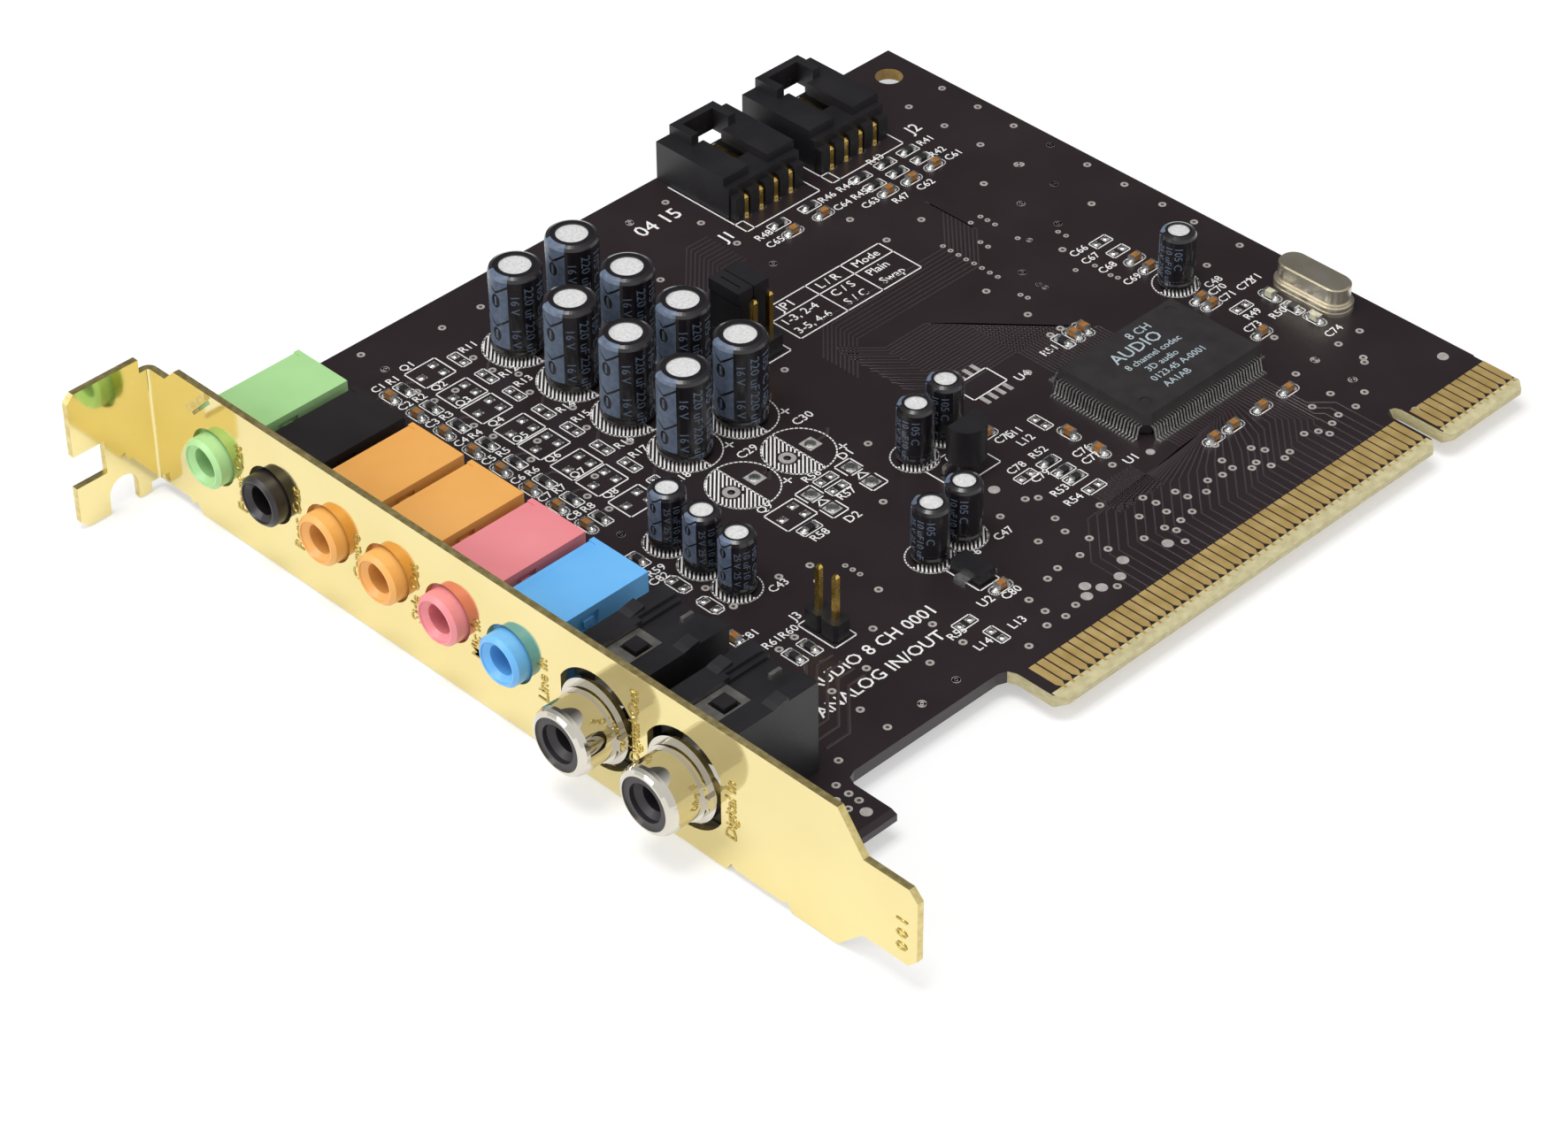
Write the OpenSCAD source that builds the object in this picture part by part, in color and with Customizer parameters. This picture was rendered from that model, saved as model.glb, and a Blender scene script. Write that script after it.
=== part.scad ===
// Internal sound card: short expansion board with a steel slot bracket,
// six 3.5 mm jacks, two phono sockets and through-hole capacitors.
// Frame in millimetres: origin at the centre of the key notch, on the
// contact edge, on the component face. +X leads away from the bracket,
// +Y up the card, +Z out of the component face.

/* [Board] */
// Laminate thickness
board_t = 1.57; // [1.45:0.01:1.65]
// Mounting hole diameter near the far top corner
mount_hole_d = 3.6; // [3.2:0.1:4]
// Length of the gold contacts
contact_len = 5.05; // [4.6:0.05:5.3]

/* [Bracket] */
// Sheet thickness of the slot bracket
bracket_t = 0.86; // [0.8:0.02:1]
// Width of the screw notch in the tab
screw_notch_w = 4.42; // [4.2:0.02:4.6]

/* [Jacks] */
// Outer diameter of the jack barrels
jack_barrel_d = 6.3; // [6:0.05:6.5]
// Bore for a 3.5 mm plug
jack_bore_d = 3.6; // [3.5:0.05:3.7]
// How far the barrels stand out of the bracket
jack_out = 2; // [1.5:0.1:3]
// Height of the jack housings
jack_h = 10.6; // [10.2:0.1:11.5]

/* [Phono sockets] */
// Outer diameter of the phono barrels
phono_d = 8.3; // [8.2:0.05:8.4]
// How far the phono barrels stand out of the bracket
phono_out = 5.8; // [5.2:0.1:8]
// Bore for the centre pin of a phono plug
phono_bore_d = 3.3; // [3.2:0.05:3.5]

/* [Capacitors] */
// Diameter of the eight large capacitors
large_cap_d = 8; // [7.8:0.1:8.2]
// Height of the eight large capacitors
large_cap_h = 11.7; // [10:0.1:14]
// Diameter of the eight small capacitors
small_cap_d = 5; // [4.8:0.1:5.2]
// Height of the eight small capacitors
small_cap_h = 7.8; // [6.5:0.1:9]

/* [Headers] */
// Side of the square header pins
header_pin_w = 0.64; // [0.6:0.01:0.66]
// Height of the two-pin header above the board
pin_header_h = 8.4; // [7.5:0.1:9.5]

/* [Hidden] */
$fn = 32;
under = -board_t;
pin_under = under - 1.5;
pitch = 2.54;

board_left = -104.2;
board_right = 15.25;
board_top = 102.9;
plate_in = -104.9;
plate_out = plate_in - bracket_t;
bend_r = 0.4;
tab_under = 101.5;
tab_top = tab_under + bracket_t;
tab_end = plate_out - 11.43;
plate_hi = 14.9;
plate_lo = -3.52;
tail_end = tab_under + 0.86 - 120.02;
slit_y = tab_under - 9.2;
slit_z = plate_hi - 2.5;

jack_y = [90.8, 81.0, 71.2, 61.4, 51.6, 41.8];
jack_z = 6.2;
jack_w = 8.5;
jack_back = -89.5;
jack_front = plate_out - jack_out;
jack_pin_at = [[-102.6, 0], [-98.4, -3.1], [-98.4, 3.1],
               [-92.4, -3.1], [-92.4, 3.1]];

phono_y = [28.5, 15.4];
phono_z = 5.2;
phono_w = 10;
phono_h = 12.3;
phono_back = -91.2;
phono_face = -104.1;
phono_tip = plate_out - phono_out;

large_at = [[-61.9, 88.8], [-62.0, 79.3], [-62.1, 69.9], [-62.2, 60.4],
            [-52.9, 88.8], [-53.0, 79.3], [-53.1, 69.9], [-53.2, 60.4]];
small_at = [[-75.4, 49.5], [-75.5, 43.9], [-75.6, 38.3], [-44.9, 40.7],
            [-39.2, 41.5], [-56.9, 26.9], [-51.5, 27.0], [1.8, 42.2]];
// Lead row of each small capacitor: 0 along X, 90 along Y
small_turn = [0, 0, 0, 90, 90, 90, 90, 90];
large_pitch = 3.5;
small_pitch = 2;

header_x = [-20.15, -5.3];
header_pin_y = 89.4;
jumper_x = -43.1;
jumper_y = 69.7;
two_pin_x = -73.9;
two_pin_y = 26.15;
chip_x = -13.85;
chip_y = 31.25;
crystal_x = 11.35;
crystal_y = 28.85;
round_x = -42.3;
round_y = 36.1;
flat_x = -55.7;
flat_y = 21.6;

// Ceramic capacitors: x, y, 0 along X or 90 along Y
tan_caps = [[-79.3, 91.8, 90], [-79.4, 87.0, 90], [-79.45, 82.2, 90],
            [-79.5, 77.2, 90], [-79.6, 72.4, 90], [-79.7, 67.4, 90],
            [-79.75, 62.8, 90], [-79.8, 58.0, 90], [-82.2, 32.1, 90],
            [-55.3, 17.75, 0], [-36.1, 37.8, 0], [-29.3, 31.2, 90],
            [-29.3, 26.6, 90], [-14.6, 43.8, 90], [-12.9, 43.8, 90],
            [-18.5, 18.7, 0], [-15.1, 18.7, 0], [-10.1, 18.7, 0],
            [-5.4, 18.7, 0], [1.4, 37.9, 0], [1.4, 36.2, 0],
            [1.15, 28.2, 0], [2.1, 49.0, 0], [2.0, 46.6, 0],
            [-22.6, 82.5, 0], [-17.3, 82.5, 0], [-8.2, 80.3, 0],
            [-4.25, 80.1, 0], [0.1, 80.3, 0]];
pale_caps = [[7.75, 32.5, 90], [7.8, 25.65, 90]];
chip_resistors = [[-77.1, 91.8, 90], [-77.2, 87.0, 90], [-77.3, 82.2, 90],
            [-77.35, 77.2, 90], [-77.4, 72.4, 90], [-77.5, 67.4, 90],
            [-77.6, 62.8, 90], [-77.65, 58.0, 90], [-79.9, 49.6, 90],
            [-62.6, 40.05, 0], [-79.65, 25.4, 90], [-77.35, 25.4, 90],
            [-34.9, 29.25, 0], [-34.9, 27.0, 0], [-34.9, 25.2, 0],
            [-16.4, 43.8, 90], [7.75, 29.0, 90],
            [-22.6, 84.9, 0], [-17.3, 84.9, 0], [-8.3, 84.9, 0],
            [-3.95, 84.9, 0], [0.1, 84.9, 0], [-8.3, 82.5, 0],
            [-4.25, 82.5, 0], [0.1, 82.5, 0]];
chip_caps = concat(tan_caps, pale_caps);

empty_large = [[-62.25, 50.95], [-53.3, 50.95]];

jack_names = ["jack_lime", "jack_black", "jack_orange_1", "jack_orange_2",
              "jack_pink", "jack_blue"];
jack_colors = ["#a6cf8c", "#241f22", "#e3a24b", "#e3a24b",
               "#e0858c", "#5aa5e6"];

// A box from its low and high corners
module block(a, b) {
    translate(a) cube([b[0] - a[0], b[1] - a[1], b[2] - a[2]]);
}

// A cylinder along X between two X values
module rod_x(x0, x1, d, y = 0, z = 0) {
    translate([x0, y, z]) rotate([0, 90, 0]) cylinder(d = d, h = x1 - x0);
}

// A round solid along -X from a profile of [radius, depth] points
module turned_x(points, x, y, z) {
    translate([x, y, z]) rotate([0, 90, 0])
        rotate_extrude() polygon(points);
}

function contact_x(i) = (i - 49.5) * 1.27;
contact_ids = concat([for (i = [0:48]) i], [for (i = [51:61]) i]);

module board_outline() {
    polygon([
        [board_left, 0.2], [-89.95, 0.2], [-89.95, 6.4], [-89.5, 7.46],
        [-88.45, 7.9], [-66.4, 7.9], [-65.35, 7.46], [-64.9, 6.4],
        [-64.9, 1.3], [-63.7, 0], [-1.9, 0], [-0.96, 0.9],
        [-0.96, 7.1], [-0.68, 7.78], [0, 8.06], [0.68, 7.78],
        [0.96, 7.1], [0.96, 0.9], [1.9, 0], [14.3, 0], [15.1, 0.9],
        [15.1, 7.6], [board_right, 7.75], [board_right, board_top],
        [board_left, board_top]]);
}

// Through holes of the board: x, y, diameter
function board_holes() = concat(
    [[10.85, 98.5, mount_hole_d]],
    [for (y = jack_y) for (p = jack_pin_at) [p[0], y + p[1], 1.3]],
    [for (y = phono_y) for (p = phono_pin_at) [p[0], y + p[1], 1.5]],
    [for (c = large_at) for (s = [-1, 1])
        [c[0] + s * large_pitch / 2, c[1], 0.8]],
    [for (c = empty_large) for (s = [-1, 1])
        [c[0] + s * large_pitch / 2, c[1], 0.8]],
    [for (k = [0:7]) for (s = [-1, 1]) small_lead(k, s, 0.75)],
    [for (hx = header_x) for (k = [0:3])
        [hx + (k - 1.5) * pitch, header_pin_y, 1]],
    [for (a = [-1, 1]) for (b = [-1, 0, 1])
        [jumper_x + a * pitch / 2, jumper_y + b * pitch, 1]],
    [for (b = [-1, 1]) [two_pin_x, two_pin_y + b * pitch / 2, 1]],
    [for (b = [-1, 1]) [crystal_x, crystal_y + b * 2.44, 0.7]],
    [for (a = [-1, 0, 1]) [round_x + a * pitch, round_y, 0.8]]);

phono_pin_at = [[-102.8, 0], [-92.6, 0]];

function small_lead(k, s, d) = [
    small_at[k][0] + (small_turn[k] == 0 ? s * small_pitch / 2 : 0),
    small_at[k][1] + (small_turn[k] == 0 ? 0 : s * small_pitch / 2), d];

module circuit_board() {
    color("#2f2629") difference() {
        translate([0, 0, under]) linear_extrude(board_t) board_outline();
        for (h = board_holes())
            translate([h[0], h[1], under - 1])
                cylinder(d = h[2], h = board_t + 2, $fn = 24);
        // Bevels along the contact edge, top and bottom
        translate([-70, 0, 0]) rotate([45, 0, 0])
            cube([100, 0.7, 0.7], center = false);
        translate([-70, 0, under]) rotate([45, 0, 0])
            translate([0, -0.7, -0.7]) cube([100, 0.7, 0.7]);
    }
}

module contact_shape() {
    top = 1.15 + contact_len;
    polygon([[-0.51, top], [-0.51, 2.2], [-0.16, 1.6], [-0.16, 1.15],
             [0.16, 1.15], [0.16, 1.6], [0.51, 2.2], [0.51, top]]);
}

module edge_contacts() {
    color("#c9a04e") for (i = contact_ids) {
        translate([contact_x(i), 0, 0]) linear_extrude(0.05) contact_shape();
        translate([contact_x(i), 0, under - 0.05])
            linear_extrude(0.05) contact_shape();
    }
}

// Flat plate of the bracket, drawn as [y, z]
module plate_outline() {
    polygon([
        [tab_under - bend_r, -2.2], [tab_under - 5.2, -2.2],
        [tab_under - 5.9, -2.9], [tab_under - 6.6, -2.2],
        [tab_under - 7.6, plate_lo], [9.3, plate_lo], [8.7, -2.4],
        [8.0, -2.9], [1.2, -2.9], [0.5, -2.4], [-0.2, plate_lo],
        [-6.6, plate_lo], [-10.2, 0], [tail_end + 1.2, 0],
        [tail_end, 1.2], [tail_end, 9.0], [tail_end + 1.2, 10.19],
        [-10.2, 10.19], [-6.6, plate_hi], [tab_under - 4.6, plate_hi],
        [tab_under - 2.8, 13.1], [tab_under - bend_r, 13.1]]);
}

module phono_opening() {
    intersection() {
        circle(d = 12.3, $fn = 48);
        square([10.8, 20], center = true);
    }
}

// Folded tab of the bracket, drawn as [x, z]
module tab_outline() {
    zc = 4.45;
    half = screw_notch_w / 2;
    x0 = plate_out - bend_r;
    difference() {
        polygon([
            [x0, -2.2], [x0 - 0.9, -2.2], [x0 - 0.9, plate_lo],
            [tab_end + 1, plate_lo], [tab_end, plate_lo + 1],
            [tab_end, plate_hi - 1], [tab_end + 1, plate_hi],
            [x0 - 0.9, plate_hi], [x0 - 0.9, 13.1], [x0, 13.1]]);
        translate([tab_end - 1, zc - half])
            square([1 + 4.3, screw_notch_w]);
        translate([tab_end + 4.25, plate_lo - 1])
            square([4.1, 0.75 - 2.05 - plate_lo + 1]);
        translate([tab_end + 6.3, 0.75 - 2.05]) circle(d = 4.1, $fn = 32);
    }
}

module bracket() {
    color("#d8c37a") {
        difference() {
            translate([plate_out, 0, 0]) rotate([90, 0, 90])
                linear_extrude(bracket_t) difference() {
                    plate_outline();
                    for (y = jack_y) translate([y + 0.15, jack_z])
                        circle(d = 7.2, $fn = 40);
                    for (y = phono_y) translate([y, phono_z])
                        phono_opening();
                    translate([slit_y, slit_z]) rotate(45)
                        square([0.45, 4.6], center = true);
                }
        }
        // The bend between plate and tab
        translate([plate_out - bend_r, tab_under - bend_r, -2.2])
            rotate_extrude(angle = 90, $fn = 32)
                translate([bend_r, 0]) square([bracket_t, 15.3]);
        translate([0, tab_top, 0]) rotate([90, 0, 0])
            linear_extrude(bracket_t) tab_outline();
        // Raised lip beside the slanted slit
        translate([plate_out - 0.35, slit_y, slit_z]) rotate([45, 0, 0])
            translate([0, 0.3, -2.3]) cube([0.4, 0.9, 4.6]);
    }
}

module jack(i) {
    y = jack_y[i];
    depth = plate_in - jack_front;
    br = jack_barrel_d / 2;
    hr = jack_bore_d / 2;
    color(jack_colors[i]) difference() {
        union() {
            block([plate_in, y - jack_w / 2, 0],
                  [jack_back, y + jack_w / 2, jack_h]);
            turned_x([[0, 0], [br - 0.45, 0], [br, 0.45],
                      [br, depth + 0.5], [0, depth + 0.5]],
                     jack_front, y, jack_z);
        }
        rod_x(jack_front - 1, jack_back - 2, jack_bore_d, y, jack_z);
        // Conical lead-in of the bore
        turned_x([[0, -0.1], [hr + 0.75, -0.1], [hr + 0.65, 0.2],
                  [hr, 0.75], [0, 0.75]], jack_front, y, jack_z);
        // Shallow step along the upper edge of the top face
        block([plate_in + 0.6, y + jack_w / 2 - 1.1, jack_h - 0.2],
              [jack_back - 0.7, y + jack_w / 2 + 1, jack_h + 1]);
        // Framed recess on the lower side face
        difference() {
            block([-99.6, y - jack_w / 2 - 1, 7.6],
                  [-96.8, y - jack_w / 2 + 0.25, jack_h - 0.9]);
            block([-98.9, y - jack_w / 2 - 1, 8.2],
                  [-97.5, y - jack_w / 2 + 1, jack_h - 1.5]);
        }
        // Pockets that hold the solder pins
        for (p = jack_pin_at)
            translate([p[0] - 0.5, y + p[1] - 0.15, -1])
                cube([1, 0.3, 2]);
    }
}

module jack_pins() {
    color("#c9c9c4") for (y = jack_y) for (p = jack_pin_at)
        translate([p[0] - 0.5, y + p[1] - 0.15, pin_under])
            cube([1, 0.3, 1 - pin_under]);
}

module phono_housing(i) {
    y = phono_y[i];
    floor_z = phono_h - 1;
    color("#262023") difference() {
        block([phono_face, y - phono_w / 2, 0],
              [phono_back, y + phono_w / 2, phono_h]);
        // Central channel between the rails
        block([phono_face - 1, y - 2.1, floor_z],
              [phono_back + 1, y + 2.1, phono_h + 1]);
        // Lower steps beside the channel at the back
        block([-97, y - 2.8, phono_h - 0.5],
              [phono_back + 1, y + 2.8, phono_h + 1]);
        // Seat of the strap at the front
        block([phono_face - 1, y - 2.05, 4],
              [phono_face + 0.3, y + 2.05, phono_h]);
        // Seat of the metal shell
        rod_x(phono_face - 1, phono_face + 6, 6.4, y, phono_z);
        // Pockets for the solder pins
        block([-93.2, y - 0.2, -1], [-92, y + 0.2, 1]);
        block([-103.4, y - 0.2, -1], [-102.2, y + 0.2, 1]);
        // Slot with the rear metal tab
        block([-93.3, y - 0.25, floor_z - 0.6], [-91.7, y + 0.25, 13]);
    }
    // Ramped nubs on the rails and the boss inside the strap
    color("#262023") {
        for (s = [-1, 1]) translate([-96.6, y + s * 4.1, phono_h])
            rotate([90, 0, 0]) linear_extrude(1.8, center = true)
                polygon([[-1.1, 0], [1.1, 0], [1.1, 0.45], [-0.3, 0.2]]);
        block([-100.8, y - 0.95, floor_z], [-98.9, y + 0.95, floor_z + 0.75]);
    }
}

module phono_shell(i) {
    y = phono_y[i];
    r = phono_d / 2;
    color("#cfcdc6") difference() {
        union() {
            // Flange in the bracket opening
            rod_x(plate_out - 0.35, phono_face, 10.2, y, phono_z);
            // Ring and lug behind the barrel
            rod_x(plate_out - 1.3, plate_out, phono_d + 0.7, y, phono_z);
            block([plate_out - 1.3, y - r - 0.75, phono_z - 0.8],
                  [plate_out - 0.2, y - r + 1, phono_z + 0.8]);
            // Barrel with a rounded nose
            turned_x([[0, 0], [r - 1.1, 0], [r - 0.66, 0.09],
                      [r - 0.3, 0.32], [r - 0.09, 0.68], [r, 1.1],
                      [r, phono_out], [0, phono_out]],
                     phono_tip, y, phono_z);
            // Neck pressed into the housing
            rod_x(phono_face - 0.5, phono_face + 6, 6.4, y, phono_z);
        }
        rod_x(phono_tip - 1, phono_face + 7, 5.6, y, phono_z);
        turned_x([[0, -0.1], [3.25, -0.1], [3.25, 2.5], [2.8, 3],
                  [0, 3]], phono_tip, y, phono_z);
        // Flat seat behind the flange for the strap
        block([phono_face - 0.3, y - 2.05, phono_z + 3.2],
              [phono_face + 1, y + 2.05, phono_z + 8]);
    }
}

module phono_insulator(i) {
    y = phono_y[i];
    hr = phono_bore_d / 2;
    color("#2b2829") difference() {
        union() {
            rod_x(phono_tip + 0.25, phono_face + 6, 5.6, y, phono_z);
            turned_x([[0, 0.25], [3.25, 0.25], [3.25, 2.5], [2.8, 3],
                      [0, 3]], phono_tip, y, phono_z);
        }
        rod_x(phono_tip - 1, phono_face + 1.5, phono_bore_d, y, phono_z);
        // Seat of the centre contact
        rod_x(phono_face + 1, phono_face + 7, phono_bore_d + 0.6, y, phono_z);
        turned_x([[0, 0], [2.35, 0], [2.35, 0.85], [hr, 1.5],
                  [0, 1.5]], phono_tip, y, phono_z);
    }
}

module phono_centre_contacts() {
    color("#c4a45a") for (y = phono_y) {
        difference() {
            rod_x(phono_face + 1, phono_face + 6, phono_bore_d + 0.6,
                  y, phono_z);
            rod_x(phono_face, phono_face + 5.5, phono_bore_d, y, phono_z);
            block([phono_face, y - 0.2, phono_z - 3],
                  [phono_face + 5, y + 0.2, phono_z + 3]);
        }
        block([-93.2, y - 0.2, pin_under], [-92, y + 0.2, 1]);
        block([-103.4, y - 0.2, pin_under], [-102.2, y + 0.2, 1]);
    }
}

module phono_ground_strap(i) {
    y = phono_y[i];
    floor_z = phono_h - 1;
    color("#c7c3b6") {
        difference() {
            block([phono_face, y - 2.05, floor_z],
                  [-97.5, y + 2.05, floor_z + 0.3]);
            block([-101.1, y - 1.25, floor_z - 1],
                  [-98.6, y + 1.25, floor_z + 1]);
        }
        // Part that bends down in front of the housing
        block([phono_face, y - 2.05, phono_z + 3.4],
              [phono_face + 0.3, y + 2.05, floor_z + 0.3]);
        // Rear tab in its slot
        block([-93.3, y - 0.25, floor_z - 0.6],
              [-91.7, y + 0.25, floor_z + 0.3]);
    }
}

module audio_header(i) {
    x = header_x[i];
    color("#1c1a1c") {
        difference() {
            union() {
                block([x - 6.05, 89.9, 0], [x + 6.05, 102.6, 4.4]);
                block([x - 6.05, 90.8, 4], [x - 1.75, 102.6, 5.6]);
                block([x + 1.45, 90.8, 4], [x + 6.05, 102.6, 5.6]);
                block([x - 3.75, 98.7, 5], [x - 2.55, 102.6, 7]);
                block([x + 2.55, 98.7, 5], [x + 3.75, 102.6, 7]);
                block([x - 3.75, 101.5, 5], [x + 3.75, 102.6, 7]);
                // Lower shelf and the fins between the pins
                for (k = [-2:2]) block([x + k * pitch - 0.75, 88.9, 0],
                                       [x + k * pitch + 0.75, 90.4, 3.3]);
            }
            // Mouth for the plug, open toward +Y
            block([x - 5.05, 91.6, 0.9], [x + 5.05, 104, 3.9]);
            // Latch window over the contacts
            block([x - 1.75, 94.2, 2], [x + 1.45, 98.8, 8]);
            block([x - 2.55, 98.7, 2], [x + 2.55, 101.5, 6]);
            // Holes for the contacts
            for (k = [0:3])
                translate([x + (k - 1.5) * pitch, 91, 2.6])
                    cube([header_pin_w, 4, header_pin_w], center = true);
        }
    }
}

module audio_header_pins() {
    w = header_pin_w;
    color("#d3b46a") for (x = header_x) for (k = [0:3])
        translate([x + (k - 1.5) * pitch - w / 2, header_pin_y, 2.6])
            rotate([90, 0, 90]) linear_extrude(w) polygon([
                [10.6, -w / 2], [10.9, -0.1], [10.9, 0.1], [10.6, w / 2],
                [0, w / 2], [-w / 2, 0], [-w / 2, pin_under - 2.6],
                [w / 2, pin_under - 2.6], [w / 2, -w / 2]]);
}

// One cell of a header base with its corners cut
module notched_cell(half_w, half_l) {
    cut = 0.37;
    polygon([[-half_w, cut - half_l], [cut - half_w, -half_l],
             [half_w - cut, -half_l], [half_w, cut - half_l],
             [half_w, half_l - cut], [half_w - cut, half_l],
             [cut - half_w, half_l], [-half_w, half_l - cut]]);
}

module jumper_base() {
    w = header_pin_w;
    color("#1f1d1f") difference() {
        union() for (b = [-1, 0, 1]) linear_extrude(2.5)
            translate([jumper_x, jumper_y + b * pitch])
                notched_cell(pitch, pitch / 2);
        for (a = [-1, 1]) for (b = [-1, 0, 1])
            translate([jumper_x + a * pitch / 2,
                       jumper_y + b * pitch, 1.2])
                cube([w, w, 4], center = true);
    }
}

// One square pin with a pointed top, standing at the origin
module square_pin(top) {
    w = header_pin_w;
    translate([-w / 2, -w / 2, pin_under])
        cube([w, w, top - 0.4 - pin_under]);
    translate([0, 0, top - 0.4]) rotate(45)
        cylinder(d1 = w * sqrt(2), d2 = w * 0.7, h = 0.4, $fn = 4);
}

module jumper_pins() {
    color("#d3b46a") for (a = [-1, 1]) for (b = [-1, 0, 1])
        translate([jumper_x + a * pitch / 2, jumper_y + b * pitch, 0])
            square_pin(8.5);
}

module jumper_shunt(i) {
    w = header_pin_w;
    x = jumper_x + (i == 0 ? -1 : 1) * pitch / 2;
    y = jumper_y + pitch / 2;
    half = pitch - 0.04;
    color("#232123") difference() {
        union() {
            block([x - 1.05, y - half + 0.1, 2.6],
                  [x + 1.05, y + half - 0.1, 7.6]);
            block([x - 1.2, y - half, 7.6], [x + 1.2, y + half, 9.2]);
        }
        for (b = [-1, 1])
            translate([x - w / 2, y + b * pitch / 2 - w / 2, 2])
                cube([w, w, 6.5]);
        // Grip groove and test slot
        block([x - 2, y - 3, 7.3], [x - 0.95, y + 3, 7.7]);
        block([x + 0.95, y - 3, 7.3], [x + 2, y + 3, 7.7]);
        if (i == 0)
            block([x - 0.1, y - 1.6, 8.9], [x + 0.1, y + 1.6, 10]);
    }
}

module pin_header_base() {
    w = header_pin_w;
    color("#1f1d1f") difference() {
        union() for (b = [-1, 1]) linear_extrude(2.5)
            translate([two_pin_x, two_pin_y + b * pitch / 2])
                notched_cell(pitch / 2, pitch / 2);
        for (b = [-1, 1])
            translate([two_pin_x, two_pin_y + b * pitch / 2, 1.2])
                cube([w, w, 4], center = true);
    }
}

module pin_header_pins() {
    color("#d3b46a") for (b = [-1, 1])
        translate([two_pin_x, two_pin_y + b * pitch / 2, 0])
            square_pin(pin_header_h);
}

module chip_half(h, top) {
    linear_extrude(h, scale = [(20 - top) / 20, (14 - top) / 14])
        polygon([[-10, -6.2], [-9.2, -7], [10, -7], [10, 7], [-10, 7]]);
}

module audio_chip() {
    color("#3a3637") translate([chip_x, chip_y, 0]) difference() {
        union() {
            translate([0, 0, 1.55]) chip_half(1.4, 0.5);
            translate([0, 0, 1.55]) mirror([0, 0, 1]) chip_half(1.3, 0.4);
        }
        // Round mould marks on the top face
        translate([-7.6, -4.6, 2.83]) cylinder(d = 1.5, h = 1);
        translate([7.9, 5.1, 2.87]) cylinder(d = 1.6, h = 1);
    }
}

// One gull-wing lead, leaving the body at y = 0 toward +Y
module gull_lead() {
    translate([-0.11, 0, 0]) rotate([90, 0, 90]) linear_extrude(0.22)
        polygon([[0, 1.48], [0.45, 1.48], [0.85, 0], [1.65, 0],
                 [1.65, 0.14], [0.96, 0.14], [0.56, 1.62], [0, 1.62]]);
}

module audio_chip_leads() {
    color("#b9bac0") translate([chip_x, chip_y, 0]) {
        for (s = [0, 180]) rotate(s) for (k = [0:37])
            translate([(k - 18.5) * 0.5, 7, 0]) gull_lead();
        for (s = [90, 270]) rotate(s) for (k = [0:25])
            translate([(k - 12.5) * 0.5, 10, 0]) gull_lead();
    }
}

module surface_regulator() {
    color("#3c3536") block([flat_x - 1.25, flat_y - 2.25, 0.1],
                           [flat_x + 1.25, flat_y + 2.25, 1.55]);
}

module surface_regulator_leads() {
    color("#c4c4c0") {
        block([flat_x - 2.15, flat_y - 0.85, 0],
              [flat_x - 1.25, flat_y + 0.85, 0.4]);
        for (k = [-1:1]) block([flat_x + 1.25, flat_y + k * 1.5 - 0.22, 0],
                               [flat_x + 2.15, flat_y + k * 1.5 + 0.22, 0.4]);
    }
}

module round_regulator() {
    color("#2a2527") translate([round_x, round_y, 2]) difference() {
        linear_extrude(4.7) difference() {
            translate([0, -0.9]) circle(d = 4.8, $fn = 40);
            translate([-4, 0.45]) square([8, 4]);
        }
        for (a = [-1, 0, 1]) translate([a * 1.27, -0.25, -1])
            cube([0.45, 0.4, 3], center = true);
        // Slanted top edge on the flat side
        translate([-4, 0.45, 4.2]) rotate([45, 0, 0]) cube([8, 2, 2]);
    }
}

module round_regulator_leads() {
    color("#c9c9c4") translate([round_x, round_y, 0])
        for (a = [-1, 0, 1]) {
            block([a * 1.27 - 0.225, -0.45, 1.6], [a * 1.27 + 0.225, -0.05, 2.5]);
            block([min(a * 1.27, a * pitch) - 0.225, -0.45, 1.2],
                  [max(a * 1.27, a * pitch) + 0.225, -0.05, 1.6]);
            block([a * pitch - 0.225, -0.2, pin_under],
                  [a * pitch + 0.225, 0.2, 1.2]);
            block([a * pitch - 0.225, -0.45, 1], [a * pitch + 0.225, 0.2, 1.2]);
        }
}

// Long rounded plate shape along Y
module race_track(length, width) {
    hull() for (s = [-1, 1])
        translate([0, s * (length - width) / 2]) circle(d = width, $fn = 32);
}

module crystal_can() {
    color("#c6c0ae") translate([crystal_x, crystal_y, 0]) {
        translate([0, 0, 0.8]) linear_extrude(0.35) race_track(11.05, 4.65);
        translate([0, 0, 1.15]) linear_extrude(0.3) race_track(10.6, 4.2);
        translate([0, 0, 1.45]) linear_extrude(2.0) race_track(10.2, 3.8);
        translate([0, 0, 3.45]) linear_extrude(0.2) race_track(9.85, 3.45);
    }
}

module crystal_base() {
    color("#2c2a2b") translate([crystal_x, crystal_y, 0]) difference() {
        linear_extrude(0.5) race_track(11.0, 4.6);
        for (b = [-1, 1]) translate([0, b * 2.44, -1])
            cylinder(d = 0.44, h = 3, $fn = 16);
    }
    color("#c9c9c4") translate([crystal_x, crystal_y, 0]) {
        difference() {
            translate([0, 0, 0.5]) linear_extrude(0.3) race_track(10.8, 4.4);
        }
        for (b = [-1, 1]) translate([0, b * 2.44, pin_under])
            cylinder(d = 0.44, h = 0.6 - pin_under, $fn = 16);
    }
}

// Places its children at every [x, y, turn] of a list
module each_at(list) {
    for (p = list) translate([p[0], p[1], 0]) rotate(p[2]) children();
}

module ceramic_capacitors() {
    color("#a5713a") each_at(tan_caps)
        block([-0.5, -0.42, 0.03], [0.5, 0.42, 0.85]);
}

module pale_ceramic_capacitors() {
    color("#c9c7ab") each_at(pale_caps)
        block([-0.5, -0.42, 0.03], [0.5, 0.42, 0.85]);
}

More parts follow.
